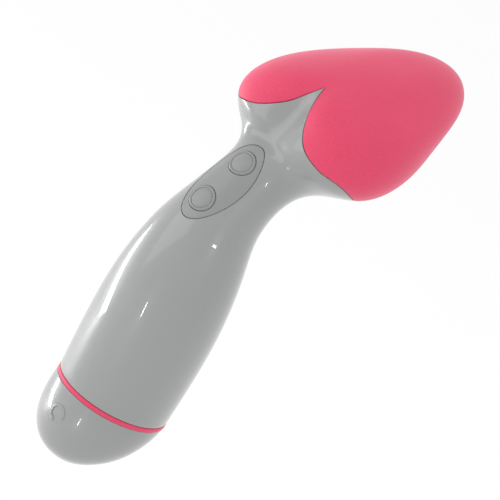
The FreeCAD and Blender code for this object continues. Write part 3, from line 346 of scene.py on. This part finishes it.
def above_seam(angle, place):
    x, y, z = np.moveaxis(skin(BODY, angle, place), -1, 0)
    side = spline(SEAM_SIDE[:, 0], SEAM_SIDE[:, 1], y)
    tongue = spline(SEAM_TONGUE[:, 0], SEAM_TONGUE[:, 1], np.abs(x))
    tongue = np.where(y < TONGUE_BACK, tongue, side - 20.0)
    height = (side + tongue + np.sqrt((side - tongue) ** 2 + SEAM_BLEND**2)) / 2
    return z + GRIP_HEIGHT - SHOULDER - height


low, high = np.full(COLUMNS, 7.0), np.full(COLUMNS, 18.5)
for _ in range(30):
    middle = (low + high) / 2
    over = above_seam(ANGLES, middle) > 0
    low, high = np.where(over, low, middle), np.where(over, middle, high)
SEAM = (low + high) / 2
seam_line = skin(BODY, ANGLES, SEAM)
seam_run = unit(np.roll(seam_line, -1, 0) - np.roll(seam_line, 1, 0))
onward = skin_steps(BODY, ANGLES, SEAM)[1]
slant = np.linalg.norm(np.cross(unit(onward), seam_run), axis=-1).clip(0.35, 1)
PER_MM = 1 / (np.linalg.norm(onward, axis=-1) * slant)     # sections per millimetre off the seam
print("seam from", round(seam_line[:, 2].min(), 1), "to", round(seam_line[:, 2].max(), 1))

# %% [markdown]
# ## Handle shell
# One moulded piece of glossy ABS from the ring to the seam.  The loops run up the outside, roll
# over the edge at the seam, come back down the inside, and close at the rim by the ring.  The
# rolled edges matter: a real moulded edge always catches a thin line of light.

# %% Handle shell
SHELL_WALL = 1.9
quarter = np.linspace(0, np.pi / 2, 5)
RIM_PLACE = 0.095                           # the rim stands just above the ring
RIM_ROLL = 0.35
SECTION_RISE = 14                           # millimetres between the lowest two sections


def lerp(a, b, t):
    return a + (b - a) * t


loops = []
for angle in quarter[::-1][:-1]:            # rolled rim above the ring
    place = RIM_PLACE - RIM_ROLL * math.sin(angle) / SECTION_RISE
    loops.append(under_skin(BODY, ANGLES, place,
                            np.full(COLUMNS, RIM_ROLL * (1 - math.cos(angle)))))
ROWS = 112
SEAM_ROLL = 0.25
for t in np.linspace(0, 1, ROWS):
    loops.append(skin(BODY, ANGLES, lerp(RIM_PLACE, SEAM - SEAM_ROLL * PER_MM, t)))
for angle in quarter[1:]:
    off = SEAM_ROLL * (1 - np.sin(angle))
    loops.append(under_skin(BODY, ANGLES, SEAM - off * PER_MM,
                            np.full(COLUMNS, SEAM_ROLL * (1 - np.cos(angle)))))
for depth in (0.9, SHELL_WALL):
    loops.append(under_skin(BODY, ANGLES, SEAM, np.full(COLUMNS, depth)))
for t in np.linspace(0, 1, 28)[1:]:
    loops.append(under_skin(BODY, ANGLES, lerp(SEAM, np.full(COLUMNS, RIM_PLACE), t),
                            np.full(COLUMNS, SHELL_WALL)))
shell_bm = pull_loops(loops, "ring")
handle_skin = finish_piece(shell_bm, "handle_skin", "handle", ["handle_shell"], "shell_gloss")

# %% [markdown]
# ## Laying things out on the keypad
# The keypad follows the curved neck, so its pieces are drawn flat, in a layout with its own
# across and along directions, and then laid on the skin.  Newton's method finds the place of the
# skin that lies over each point of the layout.

# %% Layouts laid on a skin
KEY_MIDDLE = np.array([0.0, -10.284, 44.7])
KEY_OUT = np.array([0.0, -0.8608, 0.5090])
KEY_UP = np.array([0.0, 0.5090, 0.8608])
ACROSS = np.array([1.0, 0.0, 0.0])
KEY_SECTION = 6.8           # the section nearest the middle of the keypad


def lay_on(table, middle, along, out, guess, u, v, lift):
    """Points over (u, v) of a flat layout, lifted off the skin along its out direction."""
    angle, place = np.asarray(u, float) / 16.0, np.full(np.shape(u), float(guess))
    for _ in range(10):
        here = skin(table, angle, place) - middle
        miss_u, miss_v = here @ ACROSS - u, here @ along - v
        round_it, onward = skin_steps(table, angle, place, 1e-3)
        uu, up, vu, vp = round_it @ ACROSS, onward @ ACROSS, round_it @ along, onward @ along
        det = uu * vp - up * vu
        angle = angle - (vp * miss_u - up * miss_v) / det
        place = place - (uu * miss_v - vu * miss_u) / det
    return skin(table, angle, place) + np.asarray(lift)[..., None] * out


def on_keypad(u, v, lift):
    u, v, lift = np.broadcast_arrays(np.asarray(u, float), v, lift)
    return lay_on(BODY, KEY_MIDDLE, KEY_UP, KEY_OUT, KEY_SECTION, u, v, lift)


OVAL = np.linspace(0, 2 * np.pi, 145)[:-1]
HALF_LENGTH, HALF_WIDTH = 17.4, 8.4
BUTTON_ALONG = (-9.0, 9.0)


def oval_loop(grow, lift, scale=1.0):
    return on_keypad((HALF_WIDTH + grow) * scale * np.cos(OVAL),
                     (HALF_LENGTH + grow) * scale * np.sin(OVAL), lift)


print("keypad spans", np.round(oval_loop(0, 0).min(0), 1), np.round(oval_loop(0, 0).max(0), 1))

# %% [markdown]
# ## Keypad window
# The window in the shell is a shade larger than the keypad and has a softened edge, which is why
# the cutter flares at the skin.  The narrow gap all round is what shows as a dark outline.

# %% Cut the keypad window
cutter = pull_loops([oval_loop(0.42, 2.5, 0.02), oval_loop(0.42, 2.5), oval_loop(0.42, 0.12),
                     oval_loop(0.28, 0.02), oval_loop(0.16, -0.12), oval_loop(0.09, -0.30),
                     oval_loop(0.09, -3.0), oval_loop(0.09, -3.0, 0.02)])
cut_away(handle_skin, cutter)

# %% [markdown]
# ## Keypad
# A thin satin plate that follows the neck, with two round holes.  Its edge is softened, and the
# holes are cut with a small flare so that their edges aren't razor sharp.

# %% Keypad plate and its holes
loops = [oval_loop(0, -1.1, s) for s in (0.01, 0.4, 0.8, 1.0)]
loops += [oval_loop(-d, -d2) for d, d2 in ((0.0, 0.42), (0.05, 0.25), (0.14, 0.12), (0.3, 0.06))]
for s in np.linspace(0.955, 0.012, 42):
    loops.append(oval_loop(0, -0.06, s))
keypad = finish_piece(pull_loops(loops), "keypad_oval", "handle", ["keypad_plate"],
                      "keypad_satin")
CIRCLE = np.linspace(0, 2 * np.pi, 73)[:-1]


def ring_loop(along, radius, lift):
    return on_keypad(radius * np.cos(CIRCLE), along + radius * np.sin(CIRCLE), lift)


for along in BUTTON_ALONG:
    cutter = pull_loops([ring_loop(along, 0.05, 2.0), ring_loop(along, 5.05, 2.0),
                         ring_loop(along, 5.05, 0.0), ring_loop(along, 4.88, -0.12),
                         ring_loop(along, 4.79, -0.3), ring_loop(along, 4.79, -2.0),
                         ring_loop(along, 0.05, -2.0)])
    cut_away(keypad, cutter)

# %% [markdown]
# ## Buttons
# Each button is one moulded cap: a soft raised ring, a fine groove, and a slightly domed disc
# inside it.  The loops are laid on the skin, so the ring follows the curve of the neck.

# %% Two buttons
BUTTON = [(0.05, -1.6), (3.0, -1.6), (4.66, -1.6), (4.70, -0.4), (4.70, -0.02), (4.66, 0.12),
          (4.56, 0.24), (4.42, 0.33), (4.26, 0.37), (4.10, 0.35), (3.96, 0.27), (3.86, 0.14),
          (3.80, 0.05), (3.74, 0.05), (3.68, 0.12), (3.60, 0.20), (3.45, 0.27), (3.1, 0.34),
          (2.6, 0.41), (2.0, 0.47), (1.4, 0.51), (0.8, 0.54), (0.3, 0.55), (0.05, 0.55)]
for name, along in zip(("power", "speed"), BUTTON_ALONG):
    loops = [ring_loop(along, radius, lift) for radius, lift in BUTTON]
    finish_piece(pull_loops(loops), f"{name}_cap", f"{name}_button", [f"{name}_button"],
                 "keypad_satin", sharp=60)

# %% [markdown]
# ## Massage head
# A hollow skin of soft silicone over the stiff dome.  It starts at the middle of its inside, comes
# down to the seam, rolls round a full soft edge, and goes over the lobes and crown to the top.
# Silicone is moulded with generous edges, so the roll here is wider than on the shell.

# %% Heart cover
COVER_WALL = 1.9
GAP = 0.16
ROLL = 0.5
last = len(BODY) - 1.0
start = SEAM + GAP * PER_MM
loops = []
for t in np.linspace(0, 1, 26)[:-1]:
    loops.append(under_skin(BODY, ANGLES, lerp(np.full(COLUMNS, last - 0.02), start, t),
                            np.full(COLUMNS, COVER_WALL)))
for depth in (COVER_WALL, ROLL + 0.5):
    loops.append(under_skin(BODY, ANGLES, start, np.full(COLUMNS, depth)))
for angle in np.linspace(0, np.pi / 2, 9):
    off = ROLL * (1 - np.cos(angle))
    loops.append(under_skin(BODY, ANGLES, start + off * PER_MM,
                            np.full(COLUMNS, ROLL * (1 - np.sin(angle)))))
begin = start + ROLL * PER_MM
for t in np.linspace(0, 1, 92)[1:]:
    loops.append(skin(BODY, ANGLES, lerp(begin, np.full(COLUMNS, last), t)))
heart = finish_piece(pull_loops(loops), "heart_cover", "handle", ["head_cover"],
                     "pink_silicone", sharp=70)

# %% [markdown]
# ## End cap
# The cap is a dome skewed towards the front, with a round spigot that slides into the barrel and
# three small lugs that lock when it is turned.  One stack of loops makes all of it: up the inside
# of the bore, down the outside of the spigot over the lugs and the groove for the O-ring, out to
# the rim, and down the dome to its lowest point.

# %% End dome with its spigot and lugs
def round_loop(radius, height, lug_radius=None):
    """Circle at a height above the ring, pushed out where the lugs are."""
    reach = np.full(COLUMNS, float(radius))
    if lug_radius:
        bearing = np.degrees(np.arctan2(-np.cos(turns), np.sin(turns)))
        off = (bearing - 30.0 + 60.0) % 120.0 - 60.0
        reach = np.where(np.abs(off) < 7.0, lug_radius, reach)
    return np.stack([reach * np.sin(turns), -reach * np.cos(turns),
                     np.full(COLUMNS, height - GRIP_HEIGHT)], -1)


SPIGOT, BORE, LUG = 17.85, 16.2, 18.8             # radii
SPIGOT_TOP, BORE_FLOOR, CAP_RIM = 10.5, -1.5, -0.9  # heights from the ring plane
LUG_FOOT, LUG_TOP, GROOVE_FOOT, GROOVE_TOP = 3.4, 5.4, 7.0, 8.4
RIM_SECTION = 0.165         # where on the dome the rim is
loops = [round_loop(radius, BORE_FLOOR) for radius in (0.2, 9, 14.0, BORE)]
loops += [round_loop(BORE, 3), round_loop(BORE, SPIGOT_TOP - 0.2),
          round_loop(BORE + 0.2, SPIGOT_TOP), round_loop(SPIGOT - 0.3, SPIGOT_TOP),
          round_loop(SPIGOT, SPIGOT_TOP - 0.3), round_loop(SPIGOT, GROOVE_TOP),
          round_loop(SPIGOT - 1, GROOVE_TOP - 0.02), round_loop(SPIGOT - 1, GROOVE_FOOT + 0.02),
          round_loop(SPIGOT, GROOVE_FOOT), round_loop(SPIGOT, LUG_TOP + 0.02),
          round_loop(SPIGOT, LUG_TOP, LUG), round_loop(SPIGOT, LUG_FOOT, LUG),
          round_loop(SPIGOT, LUG_FOOT - 0.02), round_loop(SPIGOT, CAP_RIM)]
for depth in (1.2, RIM_ROLL):
    loops.append(under_skin(CAP, turns, np.full(COLUMNS, RIM_SECTION), np.full(COLUMNS, depth)))
for angle in quarter[1:]:
    place = RIM_SECTION + RIM_ROLL * (1 - np.cos(angle)) / 5
    loops.append(under_skin(CAP, turns, np.full(COLUMNS, place),
                            np.full(COLUMNS, RIM_ROLL * (1 - np.sin(angle)))))
for place in np.linspace(0.26, 6.0, 64):
    loops.append(skin(CAP, turns, np.full(COLUMNS, place)))
finish_piece(pull_loops(loops), "end_dome", "end_cap", ["end_cap"], "shell_gloss")

# %% [markdown]
# ## Turning mark
# A small raised sign on the front of the cap shows which way it turns: an open ring that ends in
# an arrowhead.  It is a narrow band drawn flat, swept along its arc and laid on the dome.

# %% Raised turning mark
MARK_MIDDLE = np.array([0.0, -21.8, -GRIP_HEIGHT - 9.5])
MARK_RADIUS = 2.9
FRONT = np.array([0.0, -1.0, 0.0])
UPWARD = np.array([0.0, 0.0, 1.0])
swing = np.radians(np.concatenate([np.linspace(-15, 235, 46), [235.5, 240, 250, 262, 272]]))
half_band = np.concatenate([np.full(46, 0.42), [1.35, 1.15, 0.8, 0.4, 0.04]])
half_band[0] = 0.25
loops = []
for bearing, half in zip(swing, half_band):
    side = np.array([-1, -0.92, -0.7, 0, 0.7, 0.92, 1, 0.6, -0.6]) * half
    lift = np.array([0.0, 0.2, 0.3, 0.33, 0.3, 0.2, 0.0, -0.3, -0.3])
    reach = MARK_RADIUS + side
    loops.append(lay_on(CAP, MARK_MIDDLE, UPWARD, FRONT, 1.6, reach * math.cos(bearing),
                        reach * math.sin(bearing), lift))
finish_piece(pull_loops(loops, "faces"), "turn_mark", "end_cap", (), "shell_gloss")

# %% [markdown]
# ## Pink ring
# A thin band of the same silicone sits in the joint between the cap and the barrel.  It is turned
# on a lathe: a rounded profile spun once about the barrel's axis.

# %% Ring band
ring_bm = bmesh.new()
inner, outer, half, roll = 17.95, 21.08, 0.86, 0.35
profile = [(inner, -half), (outer - roll, -half)]
profile += [(outer - roll + roll * math.sin(a), -half + roll - roll * math.cos(a))
            for a in np.linspace(0.3, 1.57, 5)]
profile += [(r, -z) for r, z in profile[::-1]]
corners = [ring_bm.verts.new((r * MM, 0, (z - GRIP_HEIGHT) * MM)) for r, z in profile]
for i in range(len(corners)):
    ring_bm.edges.new((corners[i - 1], corners[i]))
bmesh.ops.spin(ring_bm, geom=ring_bm.verts[:] + ring_bm.edges[:], cent=(0, 0, 0),
               axis=(0, 0, 1), angle=2 * math.pi, steps=160, use_merge=True)
finish_piece(ring_bm, "ring_band", "end_cap", ["seal_ring"], "pink_silicone", sharp=50)

# %% [markdown]
# # Materials
# Every material is built from nodes.  One small class wraps a node's output so that shader maths
# reads like ordinary maths, and one method makes any other node.

# %% Shader helpers
class Wire:
    """A node's output that can be used in sums like a number."""

    def __init__(self, graph, socket):
        self.graph, self.socket = graph, socket

    def apply(self, operation, *inputs):
        node = self.graph.tree.nodes.new("ShaderNodeMath")
        node.operation = operation
        for socket, value in zip(node.inputs, inputs):
            self.graph.feed(socket, value)
        return Wire(self.graph, node.outputs[0])

    def __add__(self, other):
        return self.apply("ADD", self, other)

    def __sub__(self, other):
        return self.apply("SUBTRACT", self, other)

    def __mul__(self, other):
        return self.apply("MULTIPLY", self, other)

    def __rsub__(self, other):
        return self.apply("SUBTRACT", other, self)

    __radd__ = __add__
    __rmul__ = __mul__

    def over(self, edge):
        return self.apply("GREATER_THAN", self, edge)

    def wave(self):
        return self.apply("SINE", self)

    def size(self):
        return self.apply("ABSOLUTE", self)

    def clamp(self):
        return self.apply("MINIMUM", self.apply("MAXIMUM", self, 0.0), 1.0)


class Graph:
    """A new material and the nodes in it."""

    def __init__(self, name):
        self.material = bpy.data.materials.new(name)
        self.material.use_nodes = True
        self.tree = self.material.node_tree
        self.tree.nodes.clear()

    def feed(self, socket, value):
        if isinstance(value, Wire):
            self.tree.links.new(value.socket, socket)
        else:
            socket.default_value = value

    def node(self, kind, settings=None, out=0, **sockets):
        """Make a node: its type, then its settings, then its sockets by name or identifier."""
        node = self.tree.nodes.new("ShaderNode" + kind)
        for key, value in (settings or {}).items():
            setattr(node, key, value)
        for key, value in sockets.items():
            found = [s for s in node.inputs if s.identifier == key]
            self.feed(found[0] if found else node.inputs[key.replace("_", " ")], value)
        outputs = [s for s in node.outputs if s.identifier == out or s.name == out]
        outputs = outputs or list(node.outputs)
        return Wire(self, outputs[0]) if outputs else None

    def place(self, stretch=(1.0, 1.0, 1.0)):
        """Position on the piece in metres, stretched along each axis."""
        where = self.node("TexCoord", out="Object")
        return self.node("Mapping", {"vector_type": "POINT"}, Vector=where, Scale=stretch)

    def noise(self, scale, detail=2.0, stretch=(1.0, 1.0, 1.0), rough=0.5):
        return self.node("TexNoise", out="Fac", Vector=self.place(stretch), Scale=scale,
                         Detail=detail, Roughness=rough)

    def mix(self, share, a, b):
        return self.node("Mix", {"data_type": "RGBA"}, out="Result_Color", Factor_Float=share,
                         A_Color=a, B_Color=b)

    def bump(self, height, distance, strength=1.0, under=None):
        more = {"Normal": under} if under else {}
        return self.node("Bump", Height=height, Distance=distance, Strength=strength, **more)

    def surface(self, **sockets):
        shader = self.node("BsdfPrincipled", **sockets)
        self.node("OutputMaterial", Surface=shader)
        return self.material


def colour(red, green, blue):
    """Display values 0 to 255 as linear colour."""
    linear = [c / 12.92 if c <= 0.04045 else ((c + 0.055) / 1.055) ** 2.4
              for c in (red / 255, green / 255, blue / 255)]
    return (*linear, 1.0)


# %% [markdown]
# ## What you can see: gloss, silicone and satin
# The gloss is grey ABS with its own shine under a clear coat, and the faint orange peel that
# moulded gloss always has.  The silicone is matte, with a very fine grain and a soft sheen where
# it is seen at a shallow angle.  The keypad is the same plastic with a fine spark-eroded texture.

# %% Outer materials
def gloss_plastic(name, base, shade):
    g = Graph(name)
    drift = g.noise(14.0, 2.0)
    peel = g.noise(420.0, 2.0)
    dust = g.noise(5200.0, 1.0)
    tint = g.mix((drift * 0.7 + dust * 0.3 - 0.15).clamp(), shade, base)
    height = g.bump(peel, 0.000006, 0.5)
    return g.surface(Base_Color=tint, Roughness=0.24 + drift * 0.1, Normal=height, IOR=1.5,
                     Coat_Weight=0.7 + dust * 0.2, Coat_Roughness=0.02, Coat_IOR=1.5)


def silicone(name, base, deep, pale):
    g = Graph(name)
    drift = g.noise(22.0, 3.0)
    grain = g.noise(2600.0, 3.0, rough=0.7)
    speck = g.node("TexVoronoi", out="Distance", Vector=g.place(), Scale=1700.0)
    tint = g.mix((drift * 1.4 - 0.2).clamp(), deep, base)
    tint = g.mix(((grain - 0.5) * 1.6 + 0.12).clamp() * 0.42, tint, pale)
    height = g.bump(grain, 0.00006, 0.5)
    height = g.bump(speck, 0.00003, 0.35, height)
    return g.surface(Base_Color=tint, Roughness=0.5 + grain * 0.16, Normal=height, IOR=1.42,
                     Sheen_Weight=0.32, Sheen_Roughness=0.42, Sheen_Tint=(1.0, 0.72, 0.8, 1.0),
                     Subsurface_Weight=0.06, Subsurface_Scale=0.002)


def satin_plastic(name, base, shade, roughness=0.36, coat=0.12):
    g = Graph(name)
    drift = g.noise(40.0, 2.0)
    grain = g.noise(4200.0, 2.0)
    tint = g.mix((drift * 0.8 + grain * 0.35 - 0.1).clamp(), shade, base)
    height = g.bump(grain, 0.00002, 0.4)
    return g.surface(Base_Color=tint, Roughness=roughness - 0.05 + grain * 0.12, Normal=height,
                     Coat_Weight=coat + drift * 0.1, Coat_Roughness=0.2)


materials = {
    "shell_gloss": gloss_plastic("shell_gloss", colour(143, 145, 144), colour(136, 138, 137)),
    "pink_silicone": silicone("pink_silicone", colour(218, 62, 98), colour(208, 52, 90),
                              colour(236, 120, 146)),
    "keypad_satin": satin_plastic("keypad_satin", colour(138, 140, 139), colour(130, 132, 131)),
}
print("outer materials", sorted(materials))

# %% [markdown]
# ## What is inside
# The pieces inside keep their engineering shapes, and only need the finish that each one has:
# textured nylon, turned and blackened steel, brass, copper, a solder-masked board, printed cell
# sleeves and rubber.

# %% Inner materials
def metal(name, base, worn, roughness, stretch=(1.0, 1.0, 1.0), scale=900.0):
    g = Graph(name)
    lines = g.noise(scale, 3.0, stretch)
    smear = g.noise(60.0, 2.0)
    tint = g.mix((lines * 0.6 + smear * 0.5 - 0.1).clamp(), worn, base)
    return g.surface(Base_Color=tint, Metallic=1.0, Roughness=roughness + lines * 0.15,
                     Normal=g.bump(lines, 0.00001, 0.4))


def circuit_board(name):
    g = Graph(name)
    x, y = (g.node("SeparateXYZ", out=axis, Vector=g.place()) for axis in "XY")
    tracks = ((x * 3100.0).wave() * (y * 1900.0 + (x * 900.0).wave()).wave()).size()
    copper = tracks.over(0.72)
    tint = g.mix(copper * 0.6, colour(18, 84, 46), colour(46, 132, 74))
    return g.surface(Base_Color=tint, Roughness=0.32 + g.noise(700.0) * 0.12,
                     Normal=g.bump(copper, 0.00003, 0.6), Coat_Weight=0.4)


def printed_sleeve(name):
    g = Graph(name)
    height = g.node("SeparateXYZ", out="Z", Vector=g.place())
    band = (height + 0.010).over(0.0)
    tint = g.mix(band, colour(40, 44, 48), colour(196, 150, 62))
    tint = g.mix(g.noise(120.0) * 0.18, tint, colour(230, 226, 214))
    return g.surface(Base_Color=tint, Metallic=0.35, Roughness=0.26 + g.noise(500.0) * 0.12,
                     Normal=g.bump(g.noise(240.0), 0.00002, 0.4))


def rubber(name, base, shade):
    g = Graph(name)
    grain = g.noise(1500.0, 3.0)
    return g.surface(Base_Color=g.mix(grain, shade, base), Roughness=0.62 + grain * 0.2,
                     Normal=g.bump(grain, 0.00004, 0.5))


materials.update({
    "inner_plastic": satin_plastic("inner_plastic", colour(214, 212, 204), colour(200, 198, 190),
                                   0.5),
    "dark_plastic": satin_plastic("dark_plastic", colour(38, 39, 41), colour(28, 29, 31), 0.45),
    "holder_plastic": satin_plastic("holder_plastic", colour(60, 62, 66), colour(48, 50, 54), 0.5),
    "capacitor_sleeve": satin_plastic("capacitor_sleeve", colour(36, 52, 104), colour(28, 42, 90),
                                      0.3, 0.5),
    "board_green": circuit_board("board_green"),
    "motor_steel": metal("motor_steel", colour(190, 191, 190), colour(158, 159, 160), 0.22,
                         (1.0, 0.06, 1.0)),
    "magnet": metal("magnet", colour(70, 70, 74), colour(52, 52, 56), 0.55),
    "copper": metal("copper", colour(214, 132, 92), colour(176, 98, 64), 0.25, (0.1, 1.0, 1.0)),
    "screw_steel": metal("screw_steel", colour(196, 196, 192), colour(150, 150, 148), 0.25),
    "weight_brass": metal("weight_brass", colour(206, 172, 96), colour(168, 134, 66), 0.28,
                          (1.0, 0.1, 1.0)),
    "spring_steel": metal("spring_steel", colour(204, 204, 202), colour(166, 166, 164), 0.2),
    "black_rubber": rubber("black_rubber", colour(34, 34, 35), colour(22, 22, 23)),
    "lead_red": rubber("lead_red", colour(176, 30, 34), colour(150, 22, 26)),
    "lead_black": rubber("lead_black", colour(30, 30, 32), colour(20, 20, 22)),
    "cell_jacket": printed_sleeve("cell_jacket"),
})
painted = 0
for part in frame["record"]["subparts"]:
    piece = frame["nodes"][part["node"]]
    finish = materials[part["material_slot"]]
    if not piece.material_slots:
        piece.data.materials.append(finish)
    for slot in piece.material_slots:
        slot.material = finish
    painted += 1
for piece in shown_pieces():
    if "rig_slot" in piece:
        piece.data.materials.clear()
        piece.data.materials.append(materials[piece["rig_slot"]])
print("painted", painted, "engineering pieces with", len(materials), "materials")

# %% [markdown]
# # Studio
# A plain pale floor well below the piece, pale surroundings, and soft lamps.  The long strip
# lamp on the left draws the narrow white line down the barrel; it stands where the barrel
# mirrors it towards the camera.  Small lamps leave the short glints on the neck and barrel.

# %% Floor and surroundings
FLOOR_BELOW = 0.42          # metres under the grip, clear of the piece from every side
floor_bm = bmesh.new()
bmesh.ops.create_grid(floor_bm, x_segments=8, y_segments=8, size=9.0)
floor_mesh = bpy.data.meshes.new("floor")
floor_bm.to_mesh(floor_mesh)
floor_bm.free()
floor = bpy.data.objects.new("floor", floor_mesh)
floor.location.z = -FLOOR_BELOW
bpy.context.scene.collection.objects.link(floor)
g = Graph("floor_paper")
floor_mesh.materials.append(g.surface(
    Base_Color=g.mix(g.noise(3.0), colour(250, 250, 250), colour(252, 252, 252)), Roughness=0.9,
    Specular_IOR_Level=0.1))

world = bpy.data.worlds.new("studio")
bpy.context.scene.world = world
world.use_nodes = True
backdrop = world.node_tree.nodes["Background"]
backdrop.inputs["Color"].default_value = (1.0, 1.0, 1.0, 1.0)
backdrop.inputs["Strength"].default_value = 1.0
bpy.context.scene.view_settings.view_transform = "Standard"


# %% Lamps
def lamp(name, towards, distance, size, watts, long_way=(0.0, 1.0, 0.0)):
    """Area lamp; directions are picture right, picture up, towards the viewer."""
    away = (camera_turn @ Vector(towards)).normalized()
    side = (camera_turn @ Vector(long_way)).normalized()
    side = (side - away * side.dot(away)).normalized()
    data = bpy.data.lights.new(name, "AREA")
    data.shape, data.size, data.size_y, data.energy = "RECTANGLE", size[0], size[1], watts
    item = bpy.data.objects.new(name, data)
    bpy.context.scene.collection.objects.link(item)
    item.matrix_world = (Matrix.Translation(away * distance)
                         @ Matrix([side.cross(away), side, away]).transposed().to_4x4())
    return item


lamp("strip_left", (-0.93, 0.22, -0.31), 1.0, (0.10, 0.95), 5.5, (0.23, 0.34, -0.40))
lamp("key_soft", (-0.62, 0.62, 0.48), 1.5, (1.3, 1.3), 5.0)
lamp("glint_low", (-0.62, -0.30, 0.73), 1.2, (0.03, 0.12), 0.35, (0.3, 1.0, 0.0))
lamp("glint_neck", (0.50, -0.30, 0.81), 1.2, (0.03, 0.20), 0.5, (1.0, -0.5, 0.0))
